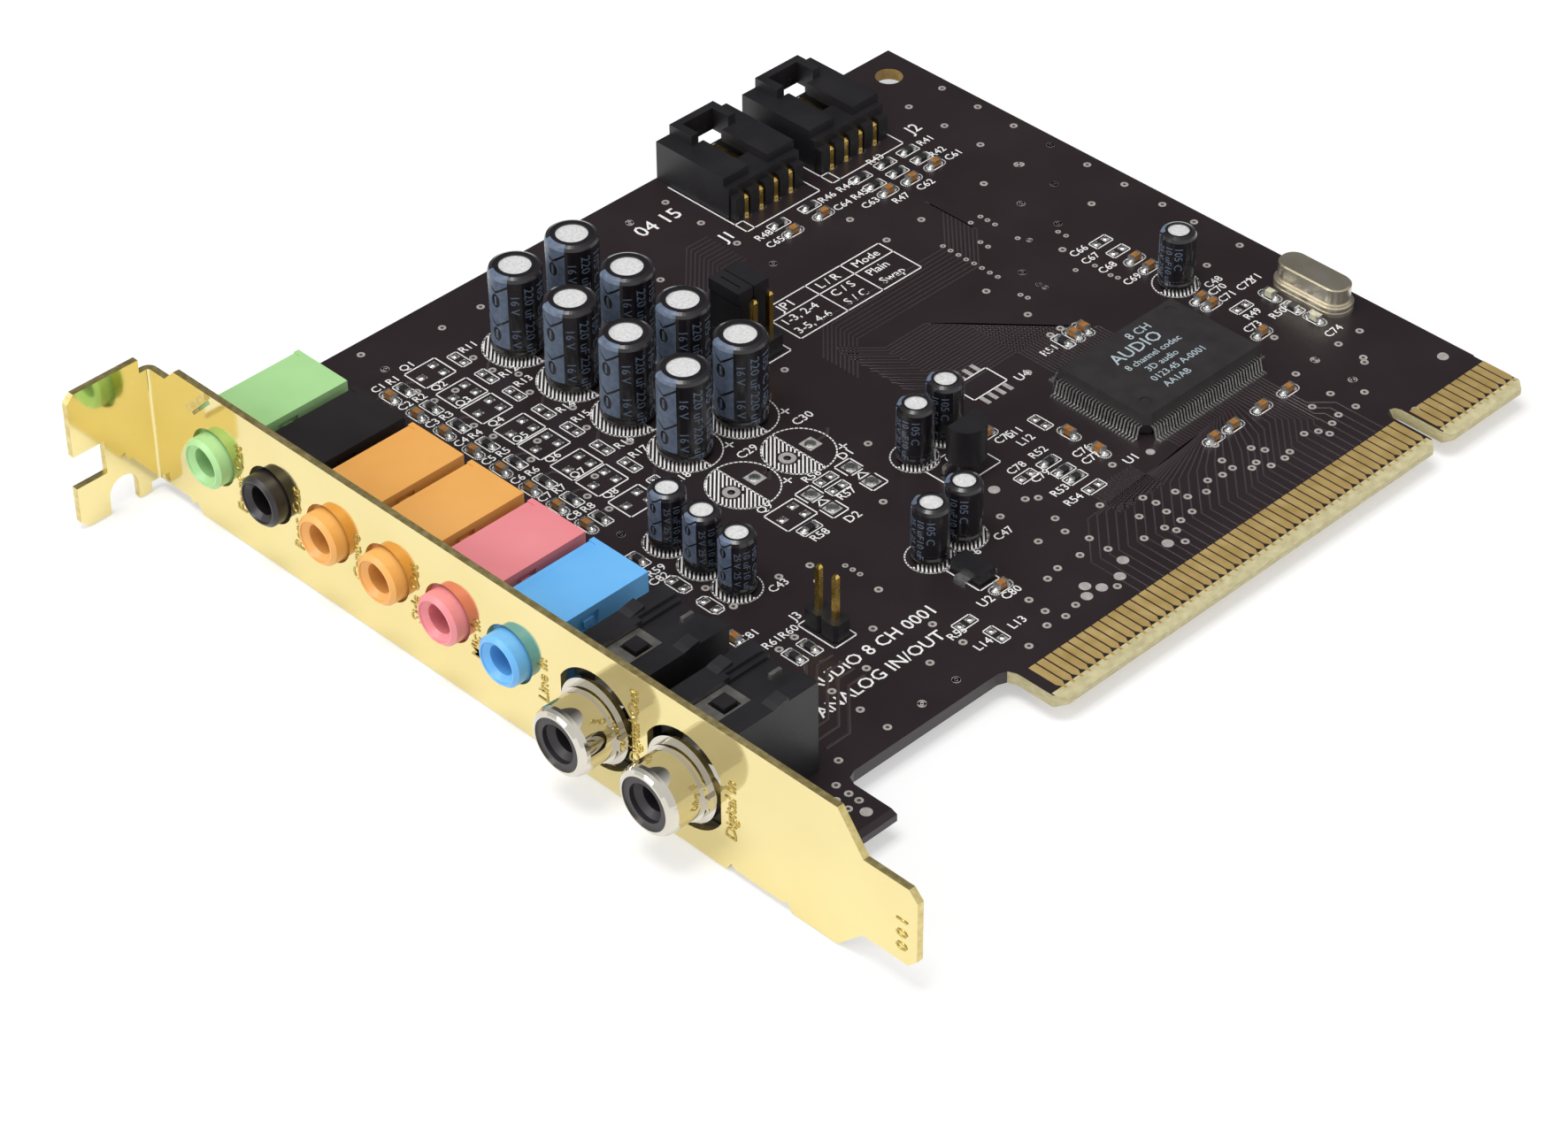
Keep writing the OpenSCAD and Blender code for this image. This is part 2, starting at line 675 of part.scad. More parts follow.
module ceramic_capacitor_ends() {
    color("#c8c8c6") each_at(chip_caps) for (s = [-1, 1])
        translate([s * 0.65, 0, 0]) block([-0.15, -0.44, 0], [0.15, 0.44, 0.87]);
}

module resistors() {
    color("#2a2a2c") each_at(chip_resistors)
        block([-0.5, -0.4, 0.03], [0.5, 0.4, 0.48]);
}

module resistor_ends() {
    color("#c8c8c6") each_at(chip_resistors) for (s = [-1, 1])
        translate([s * 0.65, 0, 0]) block([-0.15, -0.41, 0], [0.15, 0.41, 0.5]);
}

// Plastic sleeve of an upright capacitor with its open top
module sleeve(d, h, rim) {
    r = d / 2;
    rotate_extrude($fn = 48) polygon([
        [r - 0.6, 0.35], [r - 0.2, 0.35], [r, 0.6], [r, 1.0],
        [r - 0.12, 1.25], [r - 0.12, 1.45], [r, 1.7], [r, h - 0.6],
        [r - 0.17, h - 0.2], [r - 0.6, h], [rim, h],
        [rim, h - 0.15], [r - 0.65, h - 0.15], [r - 0.3, h - 0.32],
        [r - 0.15, h - 0.65], [r - 0.15, 1.73], [r - 0.27, 1.47],
        [r - 0.27, 1.23], [r - 0.15, 0.97], [r - 0.25, 0.5],
        [r - 0.6, 0.5]]);
}

module can(d, h, rim) {
    r = d / 2;
    rotate_extrude($fn = 48) polygon([
        [0, 0.35], [r - 0.6, 0.35], [r - 0.6, 0.5], [r - 0.25, 0.5],
        [r - 0.15, 0.97], [r - 0.27, 1.23], [r - 0.27, 1.47],
        [r - 0.15, 1.73], [r - 0.15, h - 0.65], [r - 0.3, h - 0.32],
        [r - 0.65, h - 0.15], [0, h - 0.15]]);
}

module large_capacitor(k) {
    color("#231f22") translate([large_at[k][0], large_at[k][1], 0])
        sleeve(large_cap_d, large_cap_h, 2.35);
}

module small_capacitor(k) {
    color("#231f22") translate([small_at[k][0], small_at[k][1], 0])
        sleeve(small_cap_d, small_cap_h, 1.45);
}

module capacitor_cans() {
    color("#d5d5d2") {
        for (p = large_at) translate([p[0], p[1], 0])
            can(large_cap_d, large_cap_h, 2.35);
        for (p = small_at) translate([p[0], p[1], 0])
            can(small_cap_d, small_cap_h, 1.45);
    }
}

module capacitor_leads() {
    color("#c9c9c4") {
        for (p = large_at) for (s = [-1, 1])
            translate([p[0] + s * large_pitch / 2, p[1], pin_under])
                cylinder(d = 0.6, h = 0.35 - pin_under, $fn = 16);
        for (k = [0:7]) for (s = [-1, 1])
            translate([small_lead(k, s, 0)[0], small_lead(k, s, 0)[1],
                       pin_under])
                cylinder(d = 0.5, h = 0.35 - pin_under, $fn = 16);
    }
}

circuit_board();
edge_contacts();
bracket();
for (i = [0:5]) jack(i);
jack_pins();
phono_housing(0);  // phono_housing_1
phono_housing(1);  // phono_housing_2
phono_shell(0);  // phono_shell_1
phono_shell(1);  // phono_shell_2
phono_insulator(0);  // phono_insulator_1
phono_insulator(1);  // phono_insulator_2
phono_centre_contacts();
phono_ground_strap(0);  // phono_ground_strap_1
phono_ground_strap(1);  // phono_ground_strap_2
audio_header(0);  // audio_header_1
audio_header(1);  // audio_header_2
audio_header_pins();
jumper_base();
jumper_pins();
jumper_shunt(0);  // jumper_shunt_1
jumper_shunt(1);  // jumper_shunt_2
pin_header_base();
pin_header_pins();
audio_chip();
audio_chip_leads();
surface_regulator();
surface_regulator_leads();
round_regulator();
round_regulator_leads();
crystal_can();
crystal_base();
ceramic_capacitors();
pale_ceramic_capacitors();
ceramic_capacitor_ends();
resistors();
resistor_ends();
for (k = [1:8]) large_capacitor(k - 1);
for (k = [1:8]) small_capacitor(k - 1);
capacitor_cans();
capacitor_leads();
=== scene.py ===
import bmesh
import bpy
import math
from mathutils import Matrix, Vector


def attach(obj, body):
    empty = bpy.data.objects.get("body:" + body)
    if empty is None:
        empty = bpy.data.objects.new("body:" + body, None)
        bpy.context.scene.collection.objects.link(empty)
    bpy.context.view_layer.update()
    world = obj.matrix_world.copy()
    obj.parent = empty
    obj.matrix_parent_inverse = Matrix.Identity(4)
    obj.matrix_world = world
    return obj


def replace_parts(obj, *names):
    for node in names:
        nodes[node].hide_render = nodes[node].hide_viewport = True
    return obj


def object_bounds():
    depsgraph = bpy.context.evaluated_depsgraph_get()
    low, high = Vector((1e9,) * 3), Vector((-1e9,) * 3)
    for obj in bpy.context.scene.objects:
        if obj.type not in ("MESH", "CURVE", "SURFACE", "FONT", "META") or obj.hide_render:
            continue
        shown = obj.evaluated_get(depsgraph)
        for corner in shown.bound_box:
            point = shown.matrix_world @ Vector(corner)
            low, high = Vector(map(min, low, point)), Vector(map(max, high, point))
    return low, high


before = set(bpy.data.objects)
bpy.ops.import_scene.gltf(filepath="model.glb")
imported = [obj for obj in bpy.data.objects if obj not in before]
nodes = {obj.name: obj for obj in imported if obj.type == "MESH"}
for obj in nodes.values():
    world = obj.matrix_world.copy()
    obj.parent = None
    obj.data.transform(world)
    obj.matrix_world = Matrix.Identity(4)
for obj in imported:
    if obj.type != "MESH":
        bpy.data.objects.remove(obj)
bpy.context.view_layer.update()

MM = 0.001
FACE = 0.0       # component face of the board
BACK = -1.57     # solder face of the board
PITCH = 2.54     # pins of the headers and the jumper block
POLYMER_IOR = 1.5
TYPE_SIZE = 1.35  # font size that gives capitals about 1 high

# The camera stands where it stood for the photo, found from the card's known sizes
EYE = Vector((-0.34594, -0.24144, 0.31377))
EYE_TURN = (Matrix.Rotation(math.radians(-44.776), 4, "Z")
            @ Matrix.Rotation(math.radians(90 - 38.593), 4, "X")
            @ Matrix.Rotation(math.radians(-0.414), 4, "Z"))
LENS, SENSOR = 104.55, 36.0
PHOTO = (1772, 1274)
# Close-ups of the photo in which places were read: left, top, enlargement
CLOSE_UPS = {"contacts": (1020, 380, 1.4214), "headers": (860, 20, 2.903),
             "rows": (420, 380, 2.926), "middle": (690, 500, 3.103),
             "chip": (1150, 120, 2.427), "jacks": (0, 250, 1.309), "foot": (560, 760, 1.463),
             "cans": (500, 220, 2.4875)}


def sighted(close_up, u, v, axis=2, level=0.0):
    """The point in millimetres, on the plane axis = level, seen at u, v of a close-up."""
    left, top, scale = CLOSE_UPS[close_up]
    focal = LENS / SENSOR * PHOTO[0]
    ray = EYE_TURN.to_3x3() @ Vector(((left + u / scale - PHOTO[0] / 2) / focal,
                                      (PHOTO[1] / 2 - top - v / scale) / focal, -1))
    point = (EYE + ray * (level * MM - EYE[axis]) / ray[axis]) / MM
    return point.x, point.y, point.z


def linear(hex_colour):
    """An sRGB hex colour as linear RGBA."""
    parts = [int(hex_colour[i:i + 2], 16) / 255 for i in (1, 3, 5)]
    return [c / 12.92 if c <= 0.04045 else ((c + 0.055) / 1.055) ** 2.4 for c in parts] + [1.0]


def add(tree, kind, put=None, **settings):
    """One node with its settings; put gives an input its value or its link."""
    made = tree.nodes.new(kind)
    for key, value in settings.items():
        setattr(made, key, value)
    for key, value in (put or {}).items():
        if isinstance(value, bpy.types.NodeSocket):
            tree.links.new(value, made.inputs[key])
        else:
            made.inputs[key].default_value = value
    return made


# Materials. Each one is the real stuff and the way its surface was made.

def finish(name, shades, grain_mm, rough, metallic=0.0, relief_mm=0.0, relief_grain_mm=None,
           stretch=(1, 1, 1), coat=0.0):
    """A surface whose shade and gloss drift over grain_mm, with a fine relief."""
    made = bpy.data.materials.new(name)
    made.use_nodes = True
    tree = made.node_tree
    tree.nodes.clear()
    place = add(tree, "ShaderNodeTexCoord")
    laid = add(tree, "ShaderNodeMapping", {"Vector": place.outputs["Object"], "Scale": stretch})
    drift = add(tree, "ShaderNodeTexNoise",
                {"Vector": laid.outputs[0], "Scale": 1 / (grain_mm * MM), "Detail": 3.0})
    shade = add(tree, "ShaderNodeValToRGB", {"Fac": drift.outputs["Fac"]})
    for stop, position, colour in zip(shade.color_ramp.elements, (0.3, 0.7), shades):
        stop.position, stop.color = position, linear(colour)
    gloss = add(tree, "ShaderNodeMapRange",
                {"Value": drift.outputs["Fac"], "To Min": rough[0], "To Max": rough[1]})
    skin = add(tree, "ShaderNodeBsdfPrincipled",
               {"Base Color": shade.outputs[0], "Roughness": gloss.outputs[0],
                "Metallic": metallic, "Coat Weight": coat, "Coat Roughness": 0.15})
    if metallic < 0.5:
        skin.inputs["IOR"].default_value = POLYMER_IOR
    if relief_mm:
        fine = add(tree, "ShaderNodeTexNoise",
                   {"Vector": laid.outputs[0], "Detail": 2.0,
                    "Scale": 1 / ((relief_grain_mm or grain_mm) * MM)})
        bump = add(tree, "ShaderNodeBump",
                   {"Height": fine.outputs["Fac"], "Distance": relief_mm * MM, "Strength": 0.6})
        tree.links.new(bump.outputs[0], skin.inputs["Normal"])
    add(tree, "ShaderNodeOutputMaterial", {"Surface": skin.outputs[0]})
    return made


# Epoxy glass laminate under dark solder mask: a soft even sheen with a faint weave
solder_mask = finish("dark_brown_solder_mask", ("#221a1d", "#292023"), 14, (0.26, 0.4),
                     relief_mm=0.02, relief_grain_mm=0.5)
# Copper tracks below the same mask: the mask lies raised and a shade lighter
masked_copper = finish("solder_mask_over_copper", ("#332a2c", "#3b3034"), 9, (0.24, 0.34))
# Sawn edge of the laminate: pale, cloudy resin with glass fibre
bare_laminate = finish("sawn_glass_laminate", ("#a9a078", "#c3ba92"), 1.2, (0.5, 0.7),
                       relief_mm=0.03, stretch=(1, 1, 3))
# Routed inner wall of the mounting hole: the laminate coloured darker and browner as painted
# shade inside the hole
hole_wall_painted_shade = finish("routed_laminate_with_painted_shade", ("#8f7440", "#a88c55"), 1.0, (0.5, 0.7))
# Hard gold on nickel, rolled and plated: warm metal with light wear
plated_gold = finish("hard_gold_plating", ("#dcbb74", "#ebce8c"), 2.5, (0.45, 0.58), 0.85)
# Gilt square pins: drawn brass with a gold flash
gilt_pin = finish("gilt_drawn_pin", ("#cfa84f", "#e2c06b"), 1.5, (0.18, 0.3), 1.0,
                  stretch=(1, 1, 0.2))
# Bright gold-tinted zinc on rolled steel: almost a mirror
gold_zinc = finish("gold_tinted_zinc_plate", ("#e3d292", "#eddfa6"), 30, (0.05, 0.1), 1.0,
                   relief_mm=0.003, relief_grain_mm=5)
# Bright nickel on the turned phono barrels
bright_nickel = finish("bright_nickel_plating", ("#cdc8bc", "#d9d5ca"), 6, (0.03, 0.07), 1.0)
# Dull tin on pressed tabs
dull_tin = finish("dull_tin_plate", ("#b6b4ac", "#cbc9c2"), 1.5, (0.28, 0.42), 1.0)
# Solder that froze shiny
solder = finish("frozen_solder", ("#b8b8b6", "#dadad8"), 0.5, (0.18, 0.36), 1.0,
                relief_mm=0.03, relief_grain_mm=0.4)
# Reflowed tin over copper on bare pads and via rings
tinned_copper = finish("levelled_tin_on_copper", ("#b2aeaa", "#cbc8c4"), 0.8, (0.4, 0.55), 0.5)
# Painted shade down the hole of a via: a dark copper-brown disc over the hole stands for the
# plated barrel in shade
via_hole_painted_shade = finish("copper_via_hole_painted_shade", ("#4a3a32", "#5a483e"), 0.3, (0.4, 0.5), 0.3)
# Screen-printed epoxy ink, slightly rough and uneven
white_ink = finish("white_screen_ink", ("#d9d8d6", "#ecebe9"), 0.8, (0.5, 0.65))
# Moulded thermoplastic of the jacks: even colour, satin gloss, fine mould grain
JACK_SHADES = {"jack_lime": ("#98c585", "#a2cd8f"), "jack_black": ("#1d191b", "#231f21"),
               "jack_orange_1": ("#d99c50", "#dfa45a"), "jack_orange_2": ("#d99c50", "#dfa45a"),
               "jack_pink": ("#d87e84", "#de888d"), "jack_blue": ("#5fa6e0", "#69aee4")}
jack_plastic = {name: finish("moulded_" + name, shades, 8, (0.3, 0.4), relief_mm=0.01,
                             relief_grain_mm=0.3) for name, shades in JACK_SHADES.items()}
# Black glass-filled nylon of the sockets and headers
black_nylon = finish("black_glass_filled_nylon", ("#151316", "#1c1a1d"), 5, (0.34, 0.5),
                     relief_mm=0.02, relief_grain_mm=0.25)
# Soft black insulator in the phono barrels
insulator = finish("black_polyethylene", ("#262225", "#2e2a2d"), 3, (0.4, 0.5))
# Transfer-moulded epoxy of the chips: matt, finely blasted
chip_epoxy = finish("moulded_chip_epoxy", ("#211e20", "#292627"), 3, (0.45, 0.58),
                    relief_mm=0.02, relief_grain_mm=0.12)
# Grey laser or pad print on the chips
chip_print = finish("pale_pad_print", ("#93a2a8", "#aab8bd"), 0.6, (0.6, 0.7))
# Shrunk polyester sleeve: black, smooth and glossy
shrink_sleeve = finish("black_shrink_sleeve", ("#161417", "#1d1a1e"), 5, (0.16, 0.26), coat=0.4)
# Blue-grey ink on the sleeve
sleeve_ink = finish("blue_grey_sleeve_ink", ("#505c6e", "#667388"), 0.7, (0.25, 0.36))
# Drawn aluminium can, etched: pale and speckled
drawn_aluminium = finish("etched_drawn_aluminium", ("#e2e2e2", "#fbfbfa"), 0.35, (0.45, 0.6),
                         0.5)
# Fired ceramic of the small capacitors: tan or pale, a little uneven
tan_ceramic = finish("tan_fired_ceramic", ("#85582a", "#a0703c"), 0.5, (0.4, 0.5))
pale_ceramic = finish("pale_fired_ceramic", ("#b9b79a", "#cfcdb2"), 0.5, (0.4, 0.5))
# Tin over nickel on the ends of the small parts
tin_end = finish("tinned_chip_end", ("#b9b9b7", "#d6d6d4"), 0.4, (0.3, 0.45), 1.0)
# Dark overglaze on the chip resistors
resistor_glaze = finish("dark_resistor_glaze", ("#1f1f22", "#29292d"), 0.6, (0.3, 0.4))
# Drawn steel can of the crystal, nickel plated, satin
crystal_steel = finish("satin_nickelled_can", ("#cdc5b2", "#dfd8c8"), 4, (0.24, 0.34), 0.9)
# The same plating over stamped letters, rougher, its colour darkened as painted shade of the
# letters' raised edges
letter_gold_painted_shade = finish("gold_plate_with_painted_letter_shade", ("#b39c52", "#c6b066"), 1.0,
                      (0.2, 0.32), 1.0)
# Sheared edges of the bracket under the same plating: torn, so they scatter
sheared_gold = finish("gold_plate_on_sheared_edge", ("#cdb976", "#e6d79c"), 0.8, (0.32, 0.5),
                      1.0, relief_mm=0.03, relief_grain_mm=0.5)

# Meshes. Every builder takes millimetres and leaves a plain mesh at the origin.


def piece(name, mesh, material, body="root"):
    """A finished mesh as a piece of the card."""
    mesh.materials.clear()
    mesh.materials.append(material)
    made = bpy.data.objects.new(name, mesh)
    bpy.context.scene.collection.objects.link(made)
    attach(made, body)
    return made


def plates(name, outlines, low, high, material):
    """Flat plates with the given outlines, from z low to z high."""
    verts, faces = [], []
    for outline in outlines:
        n, first = len(outline), len(verts)
        area = sum(x0 * y1 - x1 * y0
                   for (x0, y0), (x1, y1) in zip(outline, outline[1:] + outline[:1]))
        ring = outline if area > 0 else outline[::-1]
        verts += [(x * MM, y * MM, low * MM) for x, y in ring]
        verts += [(x * MM, y * MM, high * MM) for x, y in ring]
        faces.append([first + i for i in reversed(range(n))])
        faces.append([first + n + i for i in range(n)])
        faces += [[first + i, first + (i + 1) % n, first + n + (i + 1) % n, first + n + i]
                  for i in range(n)]
    mesh = bpy.data.meshes.new(name)
    mesh.from_pydata(verts, [], faces)
    return piece(name, mesh, material)


def strip(points, width, closed=False):
    """The outlines of a line of this width through the points, one per straight part."""
    made = []
    pts = list(points) + ([points[0]] if closed else [])
    for (x0, y0), (x1, y1) in zip(pts, pts[1:]):
        d = math.hypot(x1 - x0, y1 - y0)
        ux, uy = (x1 - x0) / d * width / 2, (y1 - y0) / d * width / 2
        made.append([(x0 - ux + uy, y0 - uy - ux), (x1 + ux + uy, y1 + uy - ux),
                     (x1 + ux - uy, y1 + uy + ux), (x0 - ux - uy, y0 - uy + ux)])
    return made


def rect(x, y, w, h, turn=0):
    """A rectangle's outline about its centre."""
    c, s = math.cos(math.radians(turn)), math.sin(math.radians(turn))
    return [(x + c * a - s * b, y + s * a + c * b)
            for a, b in ((-w / 2, -h / 2), (w / 2, -h / 2), (w / 2, h / 2), (-w / 2, h / 2))]


def arc(x, y, r, start=0, end=360, steps=32):
    """Points along an arc, in degrees."""
    n = steps if end - start < 360 else steps - 1
    return [(x + r * math.cos(math.radians(start + (end - start) * i / steps)),
             y + r * math.sin(math.radians(start + (end - start) * i / steps)))
            for i in range(n + 1)]


def taken(maker):
    """The evaluated mesh of an object, which then goes."""
    view = bpy.context.evaluated_depsgraph_get()
    view.update()
    mesh = bpy.data.meshes.new_from_object(maker.evaluated_get(view))
    bpy.data.objects.remove(maker)
    return mesh


def repeat_tree(title, build):
    """A node tree with geometry in, geometry out, and the inputs that build adds."""
    tree = bpy.data.node_groups.new(title, "GeometryNodeTree")
    tree.interface.new_socket("Geometry", in_out="INPUT", socket_type="NodeSocketGeometry")
    tree.interface.new_socket("Geometry", in_out="OUTPUT", socket_type="NodeSocketGeometry")
    build(tree)
    return tree


def outlet(tree, shape, material_input):
    """Ends a tree in real geometry with its material."""
    real = add(tree, "GeometryNodeRealizeInstances", {0: shape})
    dressed = add(tree, "GeometryNodeSetMaterial",
                  {0: real.outputs[0], "Material": material_input})
    add(tree, "NodeGroupOutput", {0: dressed.outputs[0]})


def joint_tree(tree):
    """One small turned shape at every point: a pad's solder, a via or a joint."""
    tree.interface.new_socket("Shape", in_out="INPUT", socket_type="NodeSocketObject")
    tree.interface.new_socket("Material", in_out="INPUT", socket_type="NodeSocketMaterial")
    given = add(tree, "NodeGroupInput")
    shape = add(tree, "GeometryNodeObjectInfo", {"Object": given.outputs["Shape"]})
    turn, size = (add(tree, "GeometryNodeInputNamedAttribute", {"Name": name},
                      data_type="FLOAT_VECTOR") for name in ("turn", "size"))
    spin = add(tree, "FunctionNodeEulerToRotation", {0: turn.outputs[0]})
    copies = add(tree, "GeometryNodeInstanceOnPoints",
                 {"Points": given.outputs[0], "Instance": shape.outputs["Geometry"],
                  "Rotation": spin.outputs[0], "Scale": size.outputs[0]})
    outlet(tree, copies.outputs[0], given.outputs["Material"])


def track_tree(tree):
    """A flat copper track along every curve."""
    for name, value in (("Width", 0.0002), ("Height", 0.00003)):
        made = tree.interface.new_socket(name, in_out="INPUT", socket_type="NodeSocketFloat")
        made.default_value = value
    tree.interface.new_socket("Material", in_out="INPUT", socket_type="NodeSocketMaterial")
    given = add(tree, "NodeGroupInput")
    section = add(tree, "GeometryNodeCurvePrimitiveQuadrilateral",
                  {"Width": given.outputs["Width"], "Height": given.outputs["Height"]})
    swept = add(tree, "GeometryNodeCurveToMesh",
                {"Curve": given.outputs[0], "Profile Curve": section.outputs[0],
                 "Fill Caps": True})
    outlet(tree, swept.outputs[0], given.outputs["Material"])


JOINTS = repeat_tree("repeat_small_shape", joint_tree)
TRACKS = repeat_tree("copper_tracks", track_tree)


def set_inputs(modifier, values):
    """Sets a tree's named inputs by their identifiers."""
    for item in modifier.node_group.interface.items_tree:
        if item.in_out == "INPUT" and item.name in values:
            modifier[item.identifier] = values[item.name]


def spread(name, shape, spots, material):
    """One copy of shape at each (x, y, z, turn, sx, sy, sz) in millimetres and degrees."""
    mesh = bpy.data.meshes.new(name + "_spots")
    mesh.from_pydata([(s[0] * MM, s[1] * MM, s[2] * MM) for s in spots], [], [])
    turn = mesh.attributes.new("turn", "FLOAT_VECTOR", "POINT")
    size = mesh.attributes.new("size", "FLOAT_VECTOR", "POINT")
    for i, s in enumerate(spots):
        turn.data[i].vector = (0, 0, math.radians(s[3] if len(s) > 3 else 0))
        size.data[i].vector = s[4:7] if len(s) > 4 else (1, 1, 1)
    maker = bpy.data.objects.new(name + "_maker", mesh)
    bpy.context.scene.collection.objects.link(maker)
    modifier = maker.modifiers.new("repeat", "NODES")
    modifier.node_group = JOINTS
    set_inputs(modifier, {"Shape": shape, "Material": material})
    return piece(name, taken(maker), material)


def tracks(name, lines, width, height, z, material):
    """Copper tracks of one width along polylines in millimetres."""
    data = bpy.data.curves.new(name, "CURVE")
    data.dimensions = "3D"
    for line in lines:
        run = data.splines.new("POLY")
        run.points.add(len(line) - 1)
        for point, (x, y) in zip(run.points, line):
            point.co = (x * MM, y * MM, z * MM, 1)
    maker = bpy.data.objects.new(name + "_maker", data)
    bpy.context.scene.collection.objects.link(maker)
    modifier = maker.modifiers.new("tracks", "NODES")
    modifier.node_group = TRACKS
    set_inputs(modifier, {"Width": width * MM, "Height": height * MM, "Material": material})
    return piece(name, taken(maker), material)


def turned(name, profile, sides=20):
    """A hidden pattern shape turned about Z from (radius, height) points."""
    verts, faces = [], []
    for r, z in profile:
        ring = 1 if r == 0 else sides
        verts.append([(r * MM * math.cos(2 * math.pi * i / sides),
                       r * MM * math.sin(2 * math.pi * i / sides), z * MM)
                      for i in range(ring)])
    flat, first = [], []
    for ring in verts:
        first.append(len(flat))
        flat += ring
    for k, (a, b) in enumerate(zip(verts, verts[1:])):
        for i in range(sides):
            j = (i + 1) % sides
            lower = [first[k] + i, first[k] + j] if len(a) > 1 else [first[k]]
            upper = [first[k + 1] + j, first[k + 1] + i] if len(b) > 1 else [first[k + 1]]
            faces.append(lower + upper)
    mesh = bpy.data.meshes.new(name)
    mesh.from_pydata(flat, [], faces)
    whole = bmesh.new()
    whole.from_mesh(mesh)
    bmesh.ops.remove_doubles(whole, verts=whole.verts, dist=1e-7)
    bmesh.ops.recalc_face_normals(whole, faces=whole.faces)
    whole.to_mesh(mesh)
    whole.free()
    return bpy.data.objects.new(name, mesh)


def lettering(words, thick):
    """Words as one mesh: (text, x, y, size, turn, align) on the XY plane, in millimetres."""
    whole = bmesh.new()
    for text, x, y, size, turn, align in words:
        font = bpy.data.curves.new("word", "FONT")
        font.body = text
        font.size = size * TYPE_SIZE
        font.align_x = align
        font.align_y = "CENTER"
        font.extrude = thick / 2
        font.resolution_u = 2
        font.offset = 0.006 * size
        maker = bpy.data.objects.new("word", font)
        bpy.context.scene.collection.objects.link(maker)
        flat = taken(maker)
        flat.transform(Matrix.Translation((x, y, 0))
                       @ Matrix.Rotation(math.radians(turn), 4, "Z"))
        whole.from_mesh(flat)
        bpy.data.meshes.remove(flat)
        bpy.data.curves.remove(font)
    return whole


def settled(whole, name, place, material):
    """The gathered lettering, moved by place, as a piece in metres."""
    mesh = bpy.data.meshes.new(name)
    bmesh.ops.remove_doubles(whole, verts=whole.verts, dist=1e-5)
    whole.to_mesh(mesh)
    whole.free()
    mesh.transform(Matrix.Scale(MM, 4) @ place)
    return piece(name, mesh, material)


def round_cylinder(mesh, radius, height, x, y, face):
    """Moves a flat print, u across and v up, onto an upright capacitor facing an angle."""
    corner = height - 0.6
    path = [(radius, corner), (radius - 0.17, height - 0.2), (radius - 0.6, height),
            (radius - 1.6, height)]
    for v in mesh.vertices:
        u, h, w = v.co
        angle = math.radians(face) + u / radius
        r, z, left = radius + w, h, h - corner
        for (r0, z0), (r1, z1) in zip(path, path[1:]):
            length = math.hypot(r1 - r0, z1 - z0)
            if 0 < left:
                part = min(left, length) / length
                lean = ((z1 - z0) / length, (r0 - r1) / length)
                r = r0 + (r1 - r0) * part + w * lean[0]
                z = z0 + (z1 - z0) * part + w * lean[1]
            left -= length
        v.co = ((x + r * math.cos(angle)) * MM, (y + r * math.sin(angle)) * MM, z * MM)


# The pieces of the frame get their own finish.

DRESS = {
    "circuit_board": solder_mask, "edge_contacts": plated_gold, "bracket": gold_zinc,
    "jack_pins": dull_tin, "phono_centre_contacts": gilt_pin, "audio_header_pins": gilt_pin,
    "jumper_base": black_nylon, "jumper_pins": gilt_pin, "pin_header_base": black_nylon,
    "pin_header_pins": gilt_pin, "audio_chip": chip_epoxy, "audio_chip_leads": tin_end,
    "surface_regulator": black_nylon, "surface_regulator_leads": tin_end,
    "round_regulator": black_nylon, "round_regulator_leads": dull_tin,
    "crystal_can": crystal_steel, "crystal_base": crystal_steel,
    "ceramic_capacitors": tan_ceramic, "pale_ceramic_capacitors": pale_ceramic,
    "ceramic_capacitor_ends": tin_end, "resistors": resistor_glaze, "resistor_ends": tin_end,
    "capacitor_cans": drawn_aluminium, "capacitor_leads": dull_tin}
DRESS.update(jack_plastic)
for stem, last, material in (
        ("phono_housing", 2, black_nylon), ("phono_shell", 2, bright_nickel),
        ("phono_insulator", 2, insulator), ("phono_ground_strap", 2, dull_tin),
        ("audio_header", 2, black_nylon), ("jumper_shunt", 2, black_nylon),
        ("large_capacitor", 8, shrink_sleeve), ("small_capacitor", 8, shrink_sleeve)):
    DRESS.update({f"{stem}_{k}": material for k in range(1, last + 1)})
for name, material in DRESS.items():
    nodes[name].data.materials.clear()
    nodes[name].data.materials.append(material)

# The edges of the bracket sheet get the torn finish
OUTER = -105.76  # outer face of the bracket's long limb
sheet_steel = nodes["bracket"].data
sheet_steel.materials.append(sheared_gold)
for side in sheet_steel.polygons:
    across = side.normal.x if side.center.x > -105.8 * MM else side.normal.y
    if abs(across) < 0.5:
        side.material_index = 1

# The contact edge is bevelled on both faces, which the solid doesn't show
BEVEL, BEVEL_DEEP = 1.0, 0.4
MASK_END = 1.62  # the mask ends above the contact tips
HOLE, HOLE_REACH = (10.85, 98.5), 2.2
shape = bmesh.new()
shape.from_mesh(nodes["circuit_board"].data)
bmesh.ops.remove_doubles(shape, verts=shape.verts, dist=1e-6)
for face_z, side in ((FACE, 1), (BACK, -1)):
    sliced = bmesh.ops.bisect_plane(
        shape, geom=shape.verts[:] + shape.edges[:] + shape.faces[:], dist=1e-7,
        plane_co=(0, BEVEL * MM, face_z * MM), plane_no=(0, -BEVEL_DEEP, side * BEVEL),
        clear_outer=True)
    rim = [e for e in sliced["geom_cut"] if isinstance(e, bmesh.types.BMEdge)]
    bmesh.ops.edgeloop_fill(shape, edges=[e for e in rim if len(e.link_faces) < 2])
bmesh.ops.recalc_face_normals(shape, faces=shape.faces)
bevelled = bpy.data.meshes.new("bevelled_board")
shape.to_mesh(bevelled)
shape.free()
laminate = piece("bevelled_board", bevelled, solder_mask)
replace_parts(laminate, "circuit_board")
bevelled.materials.append(bare_laminate)
bevelled.materials.append(hole_wall_painted_shade)
